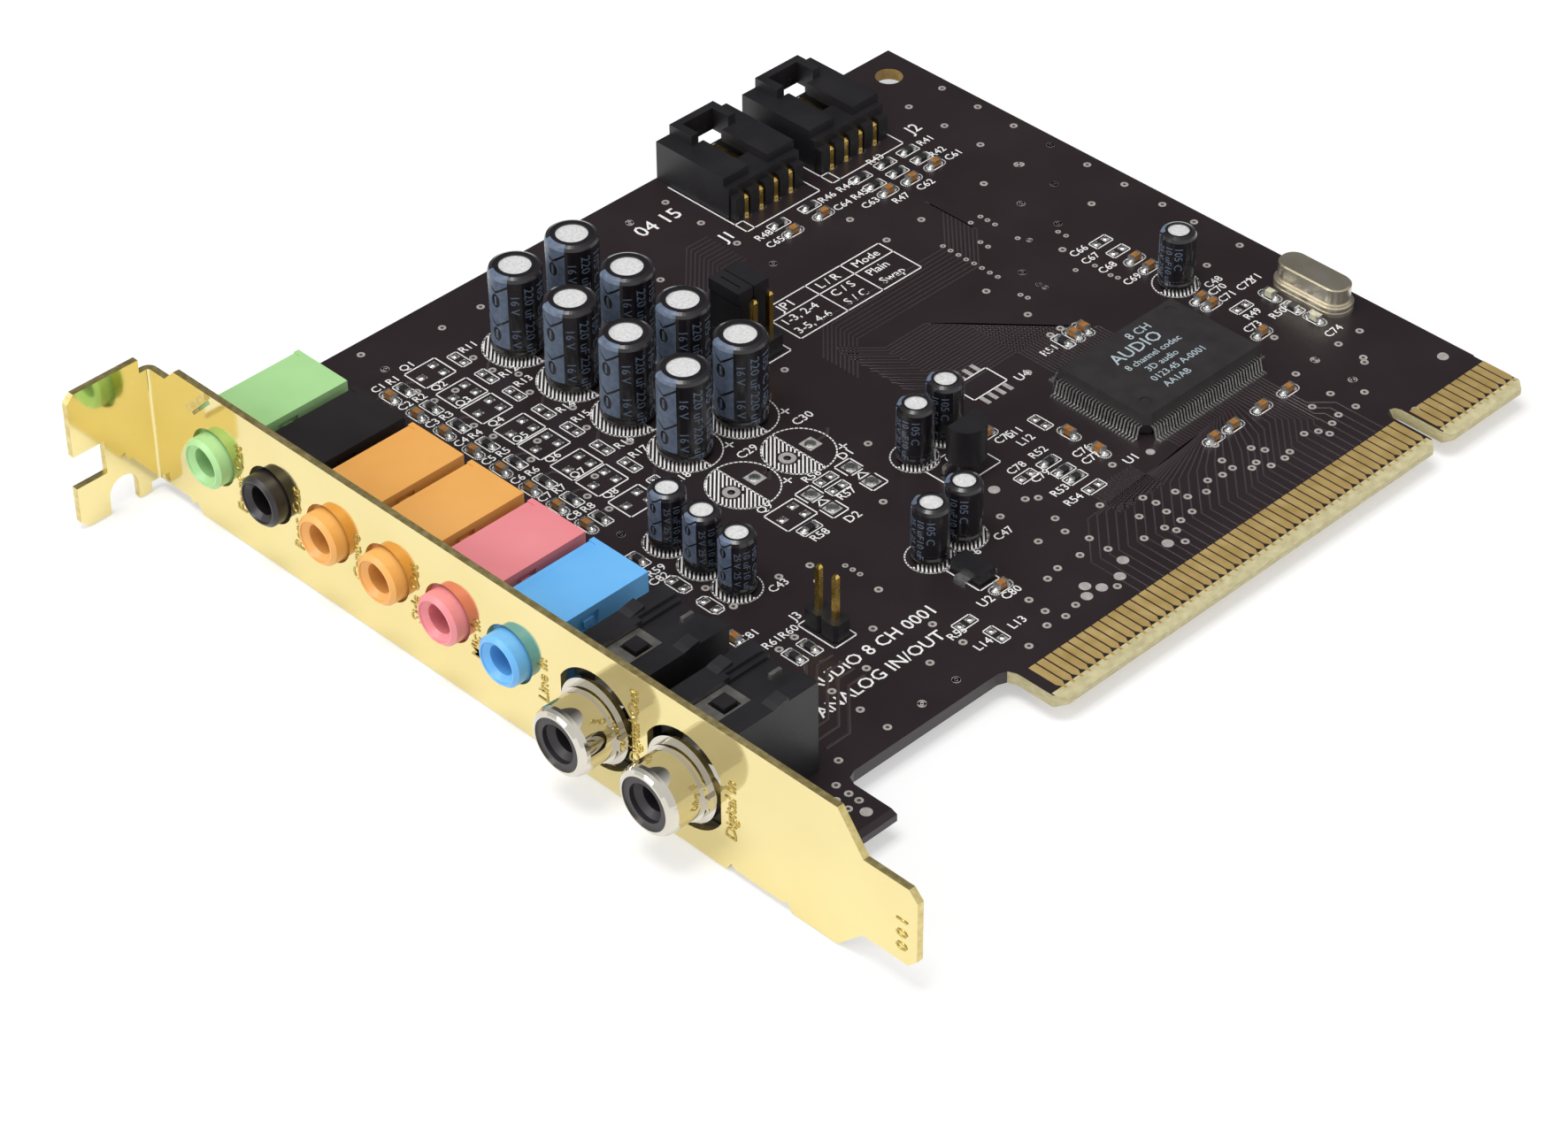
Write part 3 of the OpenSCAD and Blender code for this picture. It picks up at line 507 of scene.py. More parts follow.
for side in bevelled.polygons:
    mid = side.center / MM
    if abs(side.normal.z) < 0.95:
        if mid.y < 7.9 and -65.2 < mid.x < 15.3:
            side.material_index = 1
        elif math.hypot(mid.x - HOLE[0], mid.y - HOLE[1]) < HOLE_REACH:
            # The wall of the mounting hole: laminate darkened as painted shade
            side.material_index = 2

# Places, in the same millimetres as the board.
LARGE_CAPS = [(-61.9, 88.8), (-62.0, 79.3), (-62.1, 69.9), (-62.2, 60.4),
              (-52.9, 88.8), (-53.0, 79.3), (-53.1, 69.9), (-53.2, 60.4)]
EMPTY_CAPS = [(-62.25, 50.95), (-53.3, 50.95)]
SMALL_CAPS = [(-75.4, 49.5), (-75.5, 43.9), (-75.6, 38.3), (-44.9, 40.7),
              (-39.2, 41.5), (-56.9, 26.9), (-51.5, 27.0), (1.8, 42.2)]
ROWS = [91.8, 87.0, 82.2, 77.2, 72.4, 67.4, 62.8, 58.0]
ROW_CAPS = list(zip((-79.3, -79.4, -79.45, -79.5, -79.6, -79.7, -79.75, -79.8), ROWS))
ROW_RES = list(zip((-77.1, -77.2, -77.3, -77.35, -77.4, -77.5, -77.6, -77.65), ROWS))
OUTLINE_TOPS = [94.14, 88.6, 84.32, 78.73, 74.55, 69.11, 64.92, 59.55]
OUTLINES = [(-75.17, top) for top in OUTLINE_TOPS] + [(-64.7, 45.2)]
CAPS_UP = [(-82.2, 32.1), (-29.3, 31.2), (-29.3, 26.6), (-14.6, 43.8), (-12.9, 43.8),
           (7.75, 32.5), (7.8, 25.65)]
CAPS_ALONG = [(-55.3, 17.75), (-36.1, 37.8), (-18.5, 18.7), (-15.1, 18.7), (-10.1, 18.7),
              (-5.4, 18.7), (1.4, 37.9), (1.4, 36.2), (1.15, 28.2), (2.1, 49.0), (2.0, 46.6),
              (-22.6, 82.5), (-17.3, 82.5), (-8.2, 80.3), (-4.25, 80.1), (0.1, 80.3)]
RES_UP = [(-79.9, 49.6), (-79.65, 25.4), (-77.35, 25.4), (-16.4, 43.8), (7.75, 29.0)]
RES_ALONG = [(-62.6, 40.05), (-34.9, 29.25), (-34.9, 27.0), (-34.9, 25.2), (-22.6, 84.9),
             (-17.3, 84.9), (-8.3, 84.9), (-3.95, 84.9), (0.1, 84.9), (-8.3, 82.5),
             (-4.25, 82.5), (0.1, 82.5)]
BARE_UP = [(-68.6, y) for y in ROWS] + [(-30.0, 35.0), (-61.6, 12.5)]
BARE_ALONG = [(-34.7, 22.5), (-62.6, 16.3), (-38.6, 29.3), (2.1, 54.45), (2.1, 51.66),
              (3.6, 33.4)]
BARE_OVAL = [(-79.8, 43.3), (-79.85, 38.2)]
BARE_SIGHTED = [sighted("middle", *spot)[:2] for spot in ((755, 130), (797, 160))]
DIODES = [[sighted("middle", *spot) for spot in pair]
          for pair in (((843, 88), (915, 138)), ((703, 185), (778, 232)))]
HEADER_X = (-20.15, -5.3)
CHIP = (-13.85, 31.25)
CHIP_REACH, LEAD_PITCH = 8.6, 0.5
CONTACT_PITCH, MIDDLE_CONTACT = 1.27, 49.5
LEAD_OFF = 1.75   # leads of the large capacitors from their middle
PAD_OFF = 1.88    # pads seen on the places of the unfitted ones

# Bare laminate runs from the end of the mask down to the bevel
bare = [[(left, BEVEL), (right, BEVEL), (right, MASK_END), (left, MASK_END)]
        for left, right in ((-64.7, -1.2), (1.2, 15.0))]
plates("bare_tongue_face", bare, FACE, 0.006, bare_laminate)
plates("bare_tongue_back", bare, BACK - 0.006, BACK, bare_laminate)


# Slim sleeves and cans: the solids are 1.5 mm and 0.6 mm wider than the photo shows
def sleeve_profile(r, h, lip):
    """Section of a shrunk sleeve with its groove and open top."""
    return [(r - 0.6, 0.35), (r - 0.2, 0.35), (r, 0.6), (r, 1.0), (r - 0.12, 1.25),
            (r - 0.12, 1.45), (r, 1.7), (r, h - 0.6), (r - 0.17, h - 0.2), (r - 0.6, h),
            (lip, h), (lip, h - 0.15), (r - 0.65, h - 0.15), (r - 0.3, h - 0.32),
            (r - 0.15, h - 0.65), (r - 0.15, 1.73), (r - 0.27, 1.47), (r - 0.27, 1.23),
            (r - 0.15, 0.97), (r - 0.25, 0.5), (r - 0.6, 0.5), (r - 0.6, 0.35)]


def can_profile(r, h):
    """Section of the drawn can inside the sleeve."""
    return [(0, 0.35), (r - 0.6, 0.35), (r - 0.6, 0.5), (r - 0.27, 0.6), (r - 0.17, 0.97),
            (r - 0.29, 1.23), (r - 0.29, 1.47), (r - 0.17, 1.73), (r - 0.17, h - 0.65),
            (r - 0.32, h - 0.34), (r - 0.67, h - 0.17), (0, h - 0.17)]


LARGE_R, LARGE_H, SMALL_R, SMALL_H = 3.25, 11.7, 2.2, 7.8
cans = bmesh.new()
for kind, spots, r, h, lip in (("large", LARGE_CAPS, LARGE_R, LARGE_H, 1.95),
                               ("small", SMALL_CAPS, SMALL_R, SMALL_H, 1.3)):
    skin = turned(kind + "_sleeve_shape", sleeve_profile(r, h, lip), 48).data
    core = turned(kind + "_can_shape", can_profile(r, h), 40).data
    for k, (x, y) in enumerate(spots):
        shift = Matrix.Translation((x * MM, y * MM, 0))
        mesh = skin.copy()
        mesh.transform(shift)
        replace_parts(piece(f"{kind}_sleeve_{k + 1}", mesh, shrink_sleeve),
                    f"{kind}_capacitor_{k + 1}")
        mesh = core.copy()
        mesh.transform(shift)
        cans.from_mesh(mesh)
mesh = bpy.data.meshes.new("aluminium_cans")
cans.to_mesh(mesh)
cans.free()
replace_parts(piece("aluminium_cans", mesh, drawn_aluminium), "capacitor_cans")

# Solder fillets where the small parts stand on their pads
fillet = turned("fillet_pattern", [(0, 0), (0.62, 0), (0.5, 0.1), (0.3, 0.28), (0, 0.42)], 12)
ends = []
for x, y in ROW_CAPS + ROW_RES + CAPS_UP + RES_UP:
    ends += [(x, y - 0.85, 0, 0, 0.85, 0.8, 0.9), (x, y + 0.85, 0, 0, 0.85, 0.8, 0.9)]
for x, y in CAPS_ALONG + RES_ALONG:
    ends += [(x - 0.85, y, 0, 0, 0.8, 0.85, 0.9), (x + 0.85, y, 0, 0, 0.8, 0.85, 0.9)]
spread("small_part_solder", fillet, ends, solder)

# Bare pads that wait for parts: a tinned square with a frozen dome
dome = turned("dome_pattern", [(0, 0), (0.5, 0), (0.44, 0.09), (0.28, 0.17), (0, 0.2)], 12)
pads, domes = [], []


def bare_pair(x, y, up, reach=0.8, w=0.9):
    """Two bare pads of a small part, along Y where up is set."""
    for s in (-1, 1):
        px, py = (x, y + s * reach) if up else (x + s * reach, y)
        pads.append(rect(px, py, w, w))
        domes.append((px, py, 0.03, 0, 0.92 * w, 0.92 * w, 1))


for spot in BARE_UP:
    bare_pair(*spot, True)
for spot in BARE_ALONG:
    bare_pair(*spot, False)
for left, top in OUTLINES:
    for dx, dy in ((3.65, -1.0), (3.65, -2.9), (1.05, -1.95)):
        pads.append(rect(left + dx, top + dy, 1.1, 0.95))
        domes.append((left + dx, top + dy, 0.03, 0, 1.15, 1.0, 1.1))
for x, y, _ in DIODES[0] + DIODES[1]:
    pads.append(rect(x, y, 1.7, 1.7))
    domes.append((x, y, 0.03, 0, 1.75, 1.7, 1.1))
for spot in BARE_SIGHTED:
    bare_pair(*spot, False)
for k in range(4):
    for s in (-1, 1):
        pads.append(rect(-29.4 + (k - 1.5) * PITCH / 2, 45.0 + s * 2.6, 0.6, 1.5))
for x, y in BARE_OVAL:
    for s in (-1, 1):
        pads.append(rect(x, y + s * 0.95, 1.2, 0.9))
        domes.append((x, y + s * 0.95, 0.03, 0, 1.1, 0.85, 1))
plates("bare_pads", pads, FACE, 0.03, tinned_copper)
spread("bare_pad_solder", dome, domes, solder)

# Rings of the through holes, both faces, and the vias
ring = turned("ring_pattern", [(0.22, 0), (0.5, 0), (0.5, 0.035), (0.22, 0.035), (0.22, 0)], 16)
plug = turned("plug_pattern", [(0, 0), (0.23, 0), (0.23, 0.012), (0, 0.012)], 12)
VIAS_SEEN = {
    "contacts": ((661, 38), (742, 42), (724, 70), (742, 90), (824, 118), (728, 113), (560, 180),
                 (582, 183), (645, 157), (668, 153), (686, 157), (690, 140), (622, 186),
                 (614, 196), (592, 208), (568, 203), (561, 212), (530, 212), (513, 200),
                 (514, 223), (490, 232), (488, 250), (438, 250), (458, 258), (386, 260),
                 (407, 268), (465, 282), (447, 296), (424, 282), (380, 290), (421, 308),
                 (440, 312), (454, 330), (388, 325), (317, 272), (337, 207), (245, 293),
                 (218, 260), (197, 262), (157, 290), (261, 314), (218, 330), (300, 325),
                 (330, 342), (285, 352), (249, 373), (233, 390), (345, 402), (278, 432),
                 (203, 424), (229, 442), (262, 450), (232, 465), (203, 498), (48, 463),
                 (97, 492), (44, 525), (86, 552), (31, 592), (502, 175)),
    "headers": ((594, 232), (485, 293), (711, 293), (602, 355), (829, 355), (949, 418),
                (720, 417), (841, 482), (962, 546), (731, 545), (852, 610), (526, 663),
                (292, 663), (412, 730), (40, 807), (857, 836), (974, 676), (739, 898)),
    "rows": ((43, 111), (336, 72), (399, 113), (486, 126), (150, 184), (207, 214), (402, 332),
             (338, 296), (523, 186), (665, 237), (711, 303), (853, 351), (527, 409), (713, 530),
             (785, 572), (824, 656), (277, 180), (548, 347), (738, 464)),
    "middle": ((903, 5), (956, 209), (37, 324), (699, 432), (590, 472), (940, 517), (431, 576),
               (333, 512), (920, 654), (897, 793), (776, 874), (645, 684), (591, 727)),
    "chip": ((90, 107), (191, 161), (100, 214), (293, 215), (203, 268), (397, 270), (8, 160),
             (10, 268), (484, 318), (111, 323), (123, 394), (13, 457), (28, 572), (609, 382),
             (519, 437), (117, 610), (90, 628), (28, 731), (938, 617), (880, 653), (948, 690),
             (818, 698), (763, 735), (917, 751), (858, 789), (808, 825), (880, 847),
             (704, 635)),
    "foot": ((762, 13), (705, 51), (603, 62), (648, 91), (567, 146), (563, 187), (584, 201),
             (601, 212), (583, 226), (563, 212)),
    "jacks": ((654, 158), (534, 198), (570, 219), (711, 127), (931, 2)),
    "cans": ((527, 81), (613, 240), (727, 80), (627, 22), (930, 195), (828, 137), (962, 493))}
SMALL_VIAS_SEEN = {
    "headers": ((688, 673), (720, 653), (743, 665), (768, 679), (842, 724), (880, 731),
                (720, 737), (745, 752), (597, 750), (622, 765), (648, 779), (673, 794),
                (699, 807), (725, 822), (751, 837), (777, 851), (911, 875), (933, 885)),
    "chip": ((111, 345), (133, 356), (33, 367), (212, 438), (159, 450), (255, 464), (275, 471),
             (57, 489), (75, 498), (8, 518), (28, 526)),
    "middle": ((823, 433), (849, 447), (875, 463), (722, 487))}
BIG_VIAS_SEEN = {"contacts": ((354, 360), (349, 386), (320, 404), (293, 402), (296, 418),
                              (426, 333), (868, 33), (147, 247)),
                 "foot": ((613, 231),)}


def marks(seen, grow):
    """The (x, y, size) of every via sighted in the close-ups."""
    return [sighted(close_up, u, v)[:2] + (grow,)
            for close_up, places in seen.items() for u, v in places]


def both_faces(marked, thick):
    """Spots for flat marks of this thickness on both faces of the board."""
    return [(x, y, z, 0, size, size, 1) for z in (FACE, BACK - thick) for x, y, size in marked]


VIAS = marks(VIAS_SEEN, 1.0) + marks(SMALL_VIAS_SEEN, 0.72)
# The big ones are plugged with tin: plain bright discs on both faces
disc = turned("disc_pattern", [(0, 0), (0.7, 0), (0.7, 0.035), (0, 0.035)], 20)
spread("plugged_vias", disc, both_faces(marks(BIG_VIAS_SEEN, 1.0), 0.035), tinned_copper)
spread("via_rings", ring, both_faces(VIAS, 0.035), tinned_copper)
# Dark discs over the holes of the vias: painted shade of the plated barrels
spread("via_barrels", plug, both_faces(VIAS, 0.012), via_hole_painted_shade)

# Solder joints of the leads on the back face, over their pads
JACK_PINS = [(px, y + dy) for y in (90.8, 81.0, 71.2, 61.4, 51.6, 41.8)
             for px, dy in ((-102.6, 0), (-98.4, -3.1), (-98.4, 3.1), (-92.4, -3.1),
                            (-92.4, 3.1))]
PHONO_PINS = [(px, y) for y in (28.5, 15.4) for px in (-102.8, -92.6)]
HEADER_PINS = [(hx + (k - 1.5) * PITCH, 89.4) for hx in HEADER_X for k in range(4)]
JUMPER_PINS = [(-43.1 + a * PITCH / 2, 69.7 + b * PITCH) for a in (-1, 1) for b in (-1, 0, 1)]
TWO_PINS = [(-73.9, 26.15 + b * PITCH / 2) for b in (-1, 1)]
joint = turned("joint_pattern", [(0, 0), (0.95, 0), (0.9, -0.1), (0.5, -0.45), (0.34, -0.95),
                                 (0, -1.0)], 16)
small_joint = [(x + s * LEAD_OFF, y) for x, y in LARGE_CAPS for s in (-1, 1)]
for k, (x, y) in enumerate(SMALL_CAPS):
    small_joint += [(x + s, y) if k < 3 else (x, y + s) for s in (-1, 1)]
small_joint += [(11.35, 28.85 + s * 2.44) for s in (-1, 1)]
small_joint += [(-42.3 + a * PITCH, 36.1) for a in (-1, 0, 1)]
spread("back_solder_joints", joint,
       [(x, y, BACK, 0, 1.2, 1.2, 1) for x, y in JACK_PINS + PHONO_PINS]
       + [(x, y, BACK, 0, 0.95, 0.95, 1) for x, y in HEADER_PINS + JUMPER_PINS + TWO_PINS]
       + [(x, y, BACK, 0, 0.75, 0.75, 0.9) for x, y in small_joint], solder)
# Empty holes and square pads of the two unfitted capacitors
hole_ring = turned("hole_ring_pattern", [(0.42, 0), (0.95, 0), (0.95, 0.04), (0.42, 0.04),
                                         (0.42, 0)], 20)
spread("empty_hole_rings", hole_ring,
       [(x - PAD_OFF, y, 0, 0, 1.1, 1.1, 1) for x, y in EMPTY_CAPS]
       + [(x + s * LEAD_OFF, y, BACK - 0.04) for x, y in EMPTY_CAPS for s in (-1, 1)],
       tinned_copper)
plates("empty_square_pads", [rect(x + PAD_OFF, y, 1.95, 1.95) for x, y in EMPTY_CAPS], FACE,
       0.04, tinned_copper)
spread("empty_square_solder", dome,
       [(x + PAD_OFF, y, 0.04, 0, 1.5, 1.5, 0.9) for x, y in EMPTY_CAPS], solder)
# Solder rings on the component face round the leads of the audio headers
spread("top_lead_rings", hole_ring, [(x, y, 0, 0, 0.95, 0.95, 1) for x, y in HEADER_PINS],
       solder)

# White screen print
ink = []
LINE, THIN_LINE, BAR = 0.17, 0.14, 0.2
BAR_STEP, SHORTEST_BAR = 0.46, 0.3
LARGE_RING, SMALL_RING, OVAL_END = 4.35, 2.85, 0.72
PAD_CLEAR = 1.4
SLANT = math.sqrt(0.5)


def draw(points, width=LINE, closed=False):
    """One printed line."""
    ink.extend(strip(points, width, closed))


def box(x0, y0, x1, y1, width=LINE):
    """A printed rectangle between two corners."""
    draw([(x0, y0), (x1, y0), (x1, y1), (x0, y1)], width, True)


def hatched(x, y, radius, bars, steps, side=1, pad=False):
    """A capacitor's ring with slanting bars over its minus half, -X for side 1, else -Y."""
    draw(arc(x, y, radius, 0, 360, steps), LINE, True)
    for s in range(-bars, bars + 1):
        d = s * BAR_STEP
        reach = math.sqrt(max(radius ** 2 - d * d, 0))
        far = min(reach, side * d)
        cuts = [(-reach, far)]
        # A bar on an empty place leaves room for the ring pad
        across = abs(PAD_OFF * SLANT - d)
        if pad and across < PAD_CLEAR:
            gap = math.sqrt(PAD_CLEAR ** 2 - across ** 2)
            cuts = [(-reach, min(-PAD_OFF * SLANT - gap, far)), (-PAD_OFF * SLANT + gap, far)]
        for start, end in cuts:
            if end > start + SHORTEST_BAR:
                draw([(x + SLANT * (at - d), y + SLANT * (at + d)) for at in (start, end)], BAR)


for x, y in LARGE_CAPS + EMPTY_CAPS:
    hatched(x, y, LARGE_RING, 9, 48, 1, (x, y) in EMPTY_CAPS)
    draw([(x, y - LARGE_RING), (x, y + LARGE_RING)])
    draw([(x + 3.6, y - 2.95), (x + 4.7, y - 2.95)])
    draw([(x + 4.15, y - 3.5), (x + 4.15, y - 2.4)])
for k, (x, y) in enumerate(SMALL_CAPS):
    hatched(x, y, SMALL_RING, 6, 36, 1 if k < 3 else -1)
for left, top in OUTLINES:
    box(left, top, left + 4.74, top - 3.88)
for spots, w, h in ((ROW_RES + RES_UP + BARE_UP, 0.75, 1.45),
                    (RES_ALONG + BARE_ALONG + BARE_SIGHTED, 1.45, 0.75)):
    for x, y in spots:
        box(x - w, y - h, x + w, y + h, THIN_LINE)
for x, y in ROW_CAPS + CAPS_UP:
    draw(arc(x, y + 0.9, OVAL_END, 0, 180, 8) + arc(x, y - 0.9, OVAL_END, 180, 360, 8),
         THIN_LINE, True)
for x, y in CAPS_ALONG:
    draw(arc(x + 0.9, y, OVAL_END, -90, 90, 8) + arc(x - 0.9, y, OVAL_END, 90, 270, 8),
         THIN_LINE, True)
for hx in HEADER_X:
    draw([(hx - 6.3, 100.3), (hx - 6.3, 86.5), (hx + 6.3, 86.5), (hx + 6.3, 100.3)])
    draw([(hx - 6.3, 88.6), (hx - 5.0, 88.6), (hx - 5.0, 86.5)])
# The table of the jumper settings
for y in (66.2, 71.0, 73.45):
    draw([(-37.6, y), (-17.0, y)])
for x in (-37.6, -29.65, -23.65, -17.0):
    draw([(x, 66.2), (x, 73.45)])
# Outlines of the jumper block, the two-pin header, the empty eight-pin place, the round
# regulator and the surface regulator
for corners in ((-46.3, 65.4, -40.0, 74.1), (-75.6, 23.3, -72.2, 29.0),
                (-32.2, 43.3, -26.6, 46.8), (-46.0, 38.6, -38.6, 33.2),
                (-57.4, 18.9, -54.2, 24.3)):
    box(*corners)
for (ax, ay, _), (bx, by, _) in DIODES:
    mx, my = (ax + bx) / 2, (ay + by) / 2
    for end in (-1, 1):
        draw([(mx - 1.25, my + end * 1.0), (mx - 1.25, my + end * 3.1),
              (mx + 1.25, my + end * 3.1), (mx + 1.25, my + end * 1.0)])
    draw([(mx - 0.8, my - 0.5), (mx, my + 0.5), (mx + 0.8, my - 0.5)], LINE, True)
    draw([(mx - 0.8, my + 0.62), (mx + 0.8, my + 0.62)])
for x, y in BARE_OVAL:
    draw([(x - 0.9, y - 1.1), (x - 0.5, y - 1.7), (x + 0.5, y - 1.7), (x + 0.9, y - 1.1),
          (x + 0.9, y + 1.1), (x + 0.5, y + 1.7), (x - 0.5, y + 1.7), (x - 0.9, y + 1.1)],
         THIN_LINE, True)
plates("printed_lines", ink, FACE, 0.025, white_ink)

labels = []


def tag(text, x, y, size, align="LEFT"):
    """One word of the white print."""
    labels.append((text, x, y, size, 0, align))


for k, y in enumerate(ROWS):
    tag(f"R{k + 1}", ROW_RES[k][0] + 0.3, y + 2.4, 1.2, "CENTER")
    tag(f"R{k + 11}", -67.5, y + (1.1 if k % 2 == 0 else -1.1), 1.2)
    tag(f"C{k + 1}", ROW_CAPS[k][0] + 0.3, y + 2.45, 1.2, "CENTER")
    tag(f"Q{k + 1}", -74.9, OUTLINE_TOPS[k] + 0.95, 1.2)
for k, (x, y) in enumerate(LARGE_CAPS + EMPTY_CAPS):
    tag(f"C{k + 21}", x + 4.75, y + 4.1, 1.3, "CENTER")
for k, (x, y) in enumerate(SMALL_CAPS):
    tag(f"C{k + 41}", x + 3.4, y - 3.0, 1.2, "CENTER")
# Part numbers beside the parts round the headers, the chip and the contacts
NUMBERED = {
    ("headers", "R"): ((540, 403), (578, 440), (375, 465), (277, 555), (325, 580), (218, 590),
                       (460, 592), (10, 715)),
    ("headers", "C"): ((632, 450), (540, 548), (360, 608), (268, 615), (48, 737)),
    ("chip", "C"): ((168, 398), (200, 418), (247, 443), (315, 475), (548, 503), (575, 522),
                    (625, 490), (645, 605), (867, 617)),
    ("chip", "R"): ((645, 570), (715, 568), (88, 670)),
    ("contacts", "R"): ((218, 187), (253, 248), (275, 263), (88, 478)),
    ("contacts", "L"): ((180, 155), (198, 167), (185, 460), (130, 495)),
    ("contacts", "C"): ((163, 163), (288, 185), (303, 196), (183, 212), (222, 225), (175, 412)),
    ("middle", "R"): ((705, 120), (828, 180), (735, 325), (160, 450), (625, 665), (567, 703)),
    ("middle", "C"): ((485, 680), (170, 480))}
count = {"R": 40, "C": 60, "L": 10}
for (close_up, letter), places in NUMBERED.items():
    for u, v in places:
        count[letter] += 1
        tag(f"{letter}{count[letter]}", *sighted(close_up, u, v)[:2], 1.2, "CENTER")
for text, close_up, u, v, size in (
        ("J1", "headers", -110, 718, 1.9), ("J2", "headers", 500, 365, 1.9),
        ("04 15", "chip", -985, 320, 2.3), ("U1", "contacts", 368, 197, 1.3),
        ("D1", "middle", 825, 42, 1.3), ("D2", "middle", 850, 262, 1.3),
        ("AUDIO 8 CH 0001", "middle", 921, 720, 1.8),
        ("ANALOG IN/OUT", "middle", 949, 812, 1.8)):
    tag(text, *sighted(close_up, u, v)[:2], size, "CENTER")
for row, size, cells in ((72.2, 1.35, ("L / R", "Mode")), (69.8, 1.35, ("C / S", "Plain")),
                         (67.5, 1.35, ("S / C", "Swap"))):
    for x, text in zip((-28.7, -22.6), cells):
        tag(text, x, row, size)
for text, x, y, size in (
        ("JP1", -35.3, 72.2, 1.5), ("1-3, 2-4", -37.0, 69.8, 1.35),
        ("3-5, 4-6", -37.0, 67.5, 1.35), ("J3", -75.3, 30.2, 1.3), ("U2", -59.3, 17.2, 1.3),
        ("U3", -48.4, 31.3, 1.3), ("U4", -25.8, 42.6, 1.3), ("Y1", 8.4, 36.2, 1.3),
        ("Q9", -64.6, 46.2, 1.2)):
    tag(text, x, y, size)
settled(lettering(labels, 0.02), "printed_words", Matrix.Translation((0, 0, 0.012)),
        white_ink)

# Copper tracks under the mask, laid out by rule: buses that turn at 45 degrees
thin, wide = [], []
near, beyond = CHIP[1] - CHIP_REACH, CHIP[1] + CHIP_REACH
for i in range(34):
    # From a contact up and over at 45 degrees to a lead on the near side of the chip
    cx = (i + 14 - MIDDLE_CONTACT) * CONTACT_PITCH
    lead = CHIP[0] + (i - 16.5) * LEAD_PITCH
    run = lead - cx
    step = min(abs(run), 5.5)
    bend = 9.5 + 0.24 * abs(i - 17)
    thin.append([(cx, 6.3), (cx, bend), (cx + math.copysign(step, run), bend + step),
                 (lead, near - 1.4 - 0.05 * abs(i - 17)), (lead, near - 0.1)])
for i in range(22):
    # From the far side of the chip to the left in a wide sweep
    lead = CHIP[0] + (i - 15.5) * LEAD_PITCH
    bend = beyond + 3.0 + 0.55 * (21 - i)
    left = -36.0 - 0.2 * (i % 3)
    thin.append([(lead, beyond), (lead, bend), (lead - 3.5, bend + 3.5), (left + 4, bend + 3.5),
                 (left, bend + 7.5)])
for i in range(10):
    # Audio pairs between the jumper block and the capacitors
    y = 76.5 + 0.75 * i
    thin.append([(-47.5, y), (-40.0, y), (-34.0, y + 6), (-30.5, y + 6)])
for i in range(9):
    y = 59.0 + 0.7 * i
    # Audio pairs from the jumper block to the second header
    thin.append([(-38.5, y - 3), (-33.0, y + 2.5), (-12.0, y + 2.5), (-6.5, y + 8),
                 (-6.5, y + 11)])
for i in range(12):
    # A tight serpentine that evens out lengths
    x = -36.0 + 0.62 * i
    thin.append([(x, 17.2), (x, 22.0), (x + 0.31, 22.3), (x + 0.31, 17.4)])
for x, y in LARGE_CAPS + EMPTY_CAPS:
    wide.append([(x - LEAD_OFF, y), (x - 4.8, y), (x - 6.2, y - 1.4)])
    wide.append([(x + LEAD_OFF, y), (x + 4.6, y), (x + 5.4, y + 0.8)])
for y in ROWS:
    wide.append([(-88.5, y - 0.8), (-84.5, y - 0.8), (-82.8, y + 0.9), (-80.4, y + 0.9)])
    wide.append([(-76.6, y + 0.9), (-75.8, y + 0.9), (-75.0, y + 0.1), (-74.3, y + 0.1)])
for k in range(5):
    wide.append([(-88.0, 12.5 + 1.6 * k), (-84.5, 12.5 + 1.6 * k), (-79.0, 18.0 + 1.6 * k),
                 (-76.5, 18.0 + 1.6 * k)])
tracks("thin_tracks", thin, 0.2, 0.03, 0.008, masked_copper)
tracks("wide_tracks", wide, 0.45, 0.03, 0.008, masked_copper)
# Round marks for the placing machine
spot = turned("spot_pattern", [(0, 0), (0.5, 0), (0.5, 0.03), (0, 0.03)], 20)
spots = [(12.7, 10.3), (-92.3, 2.4), (-25.35, 22.3)]
spread("placing_marks", spot, [(x, y, 0, 0, 1.1, 1.1, 1) for x, y in spots], tinned_copper)


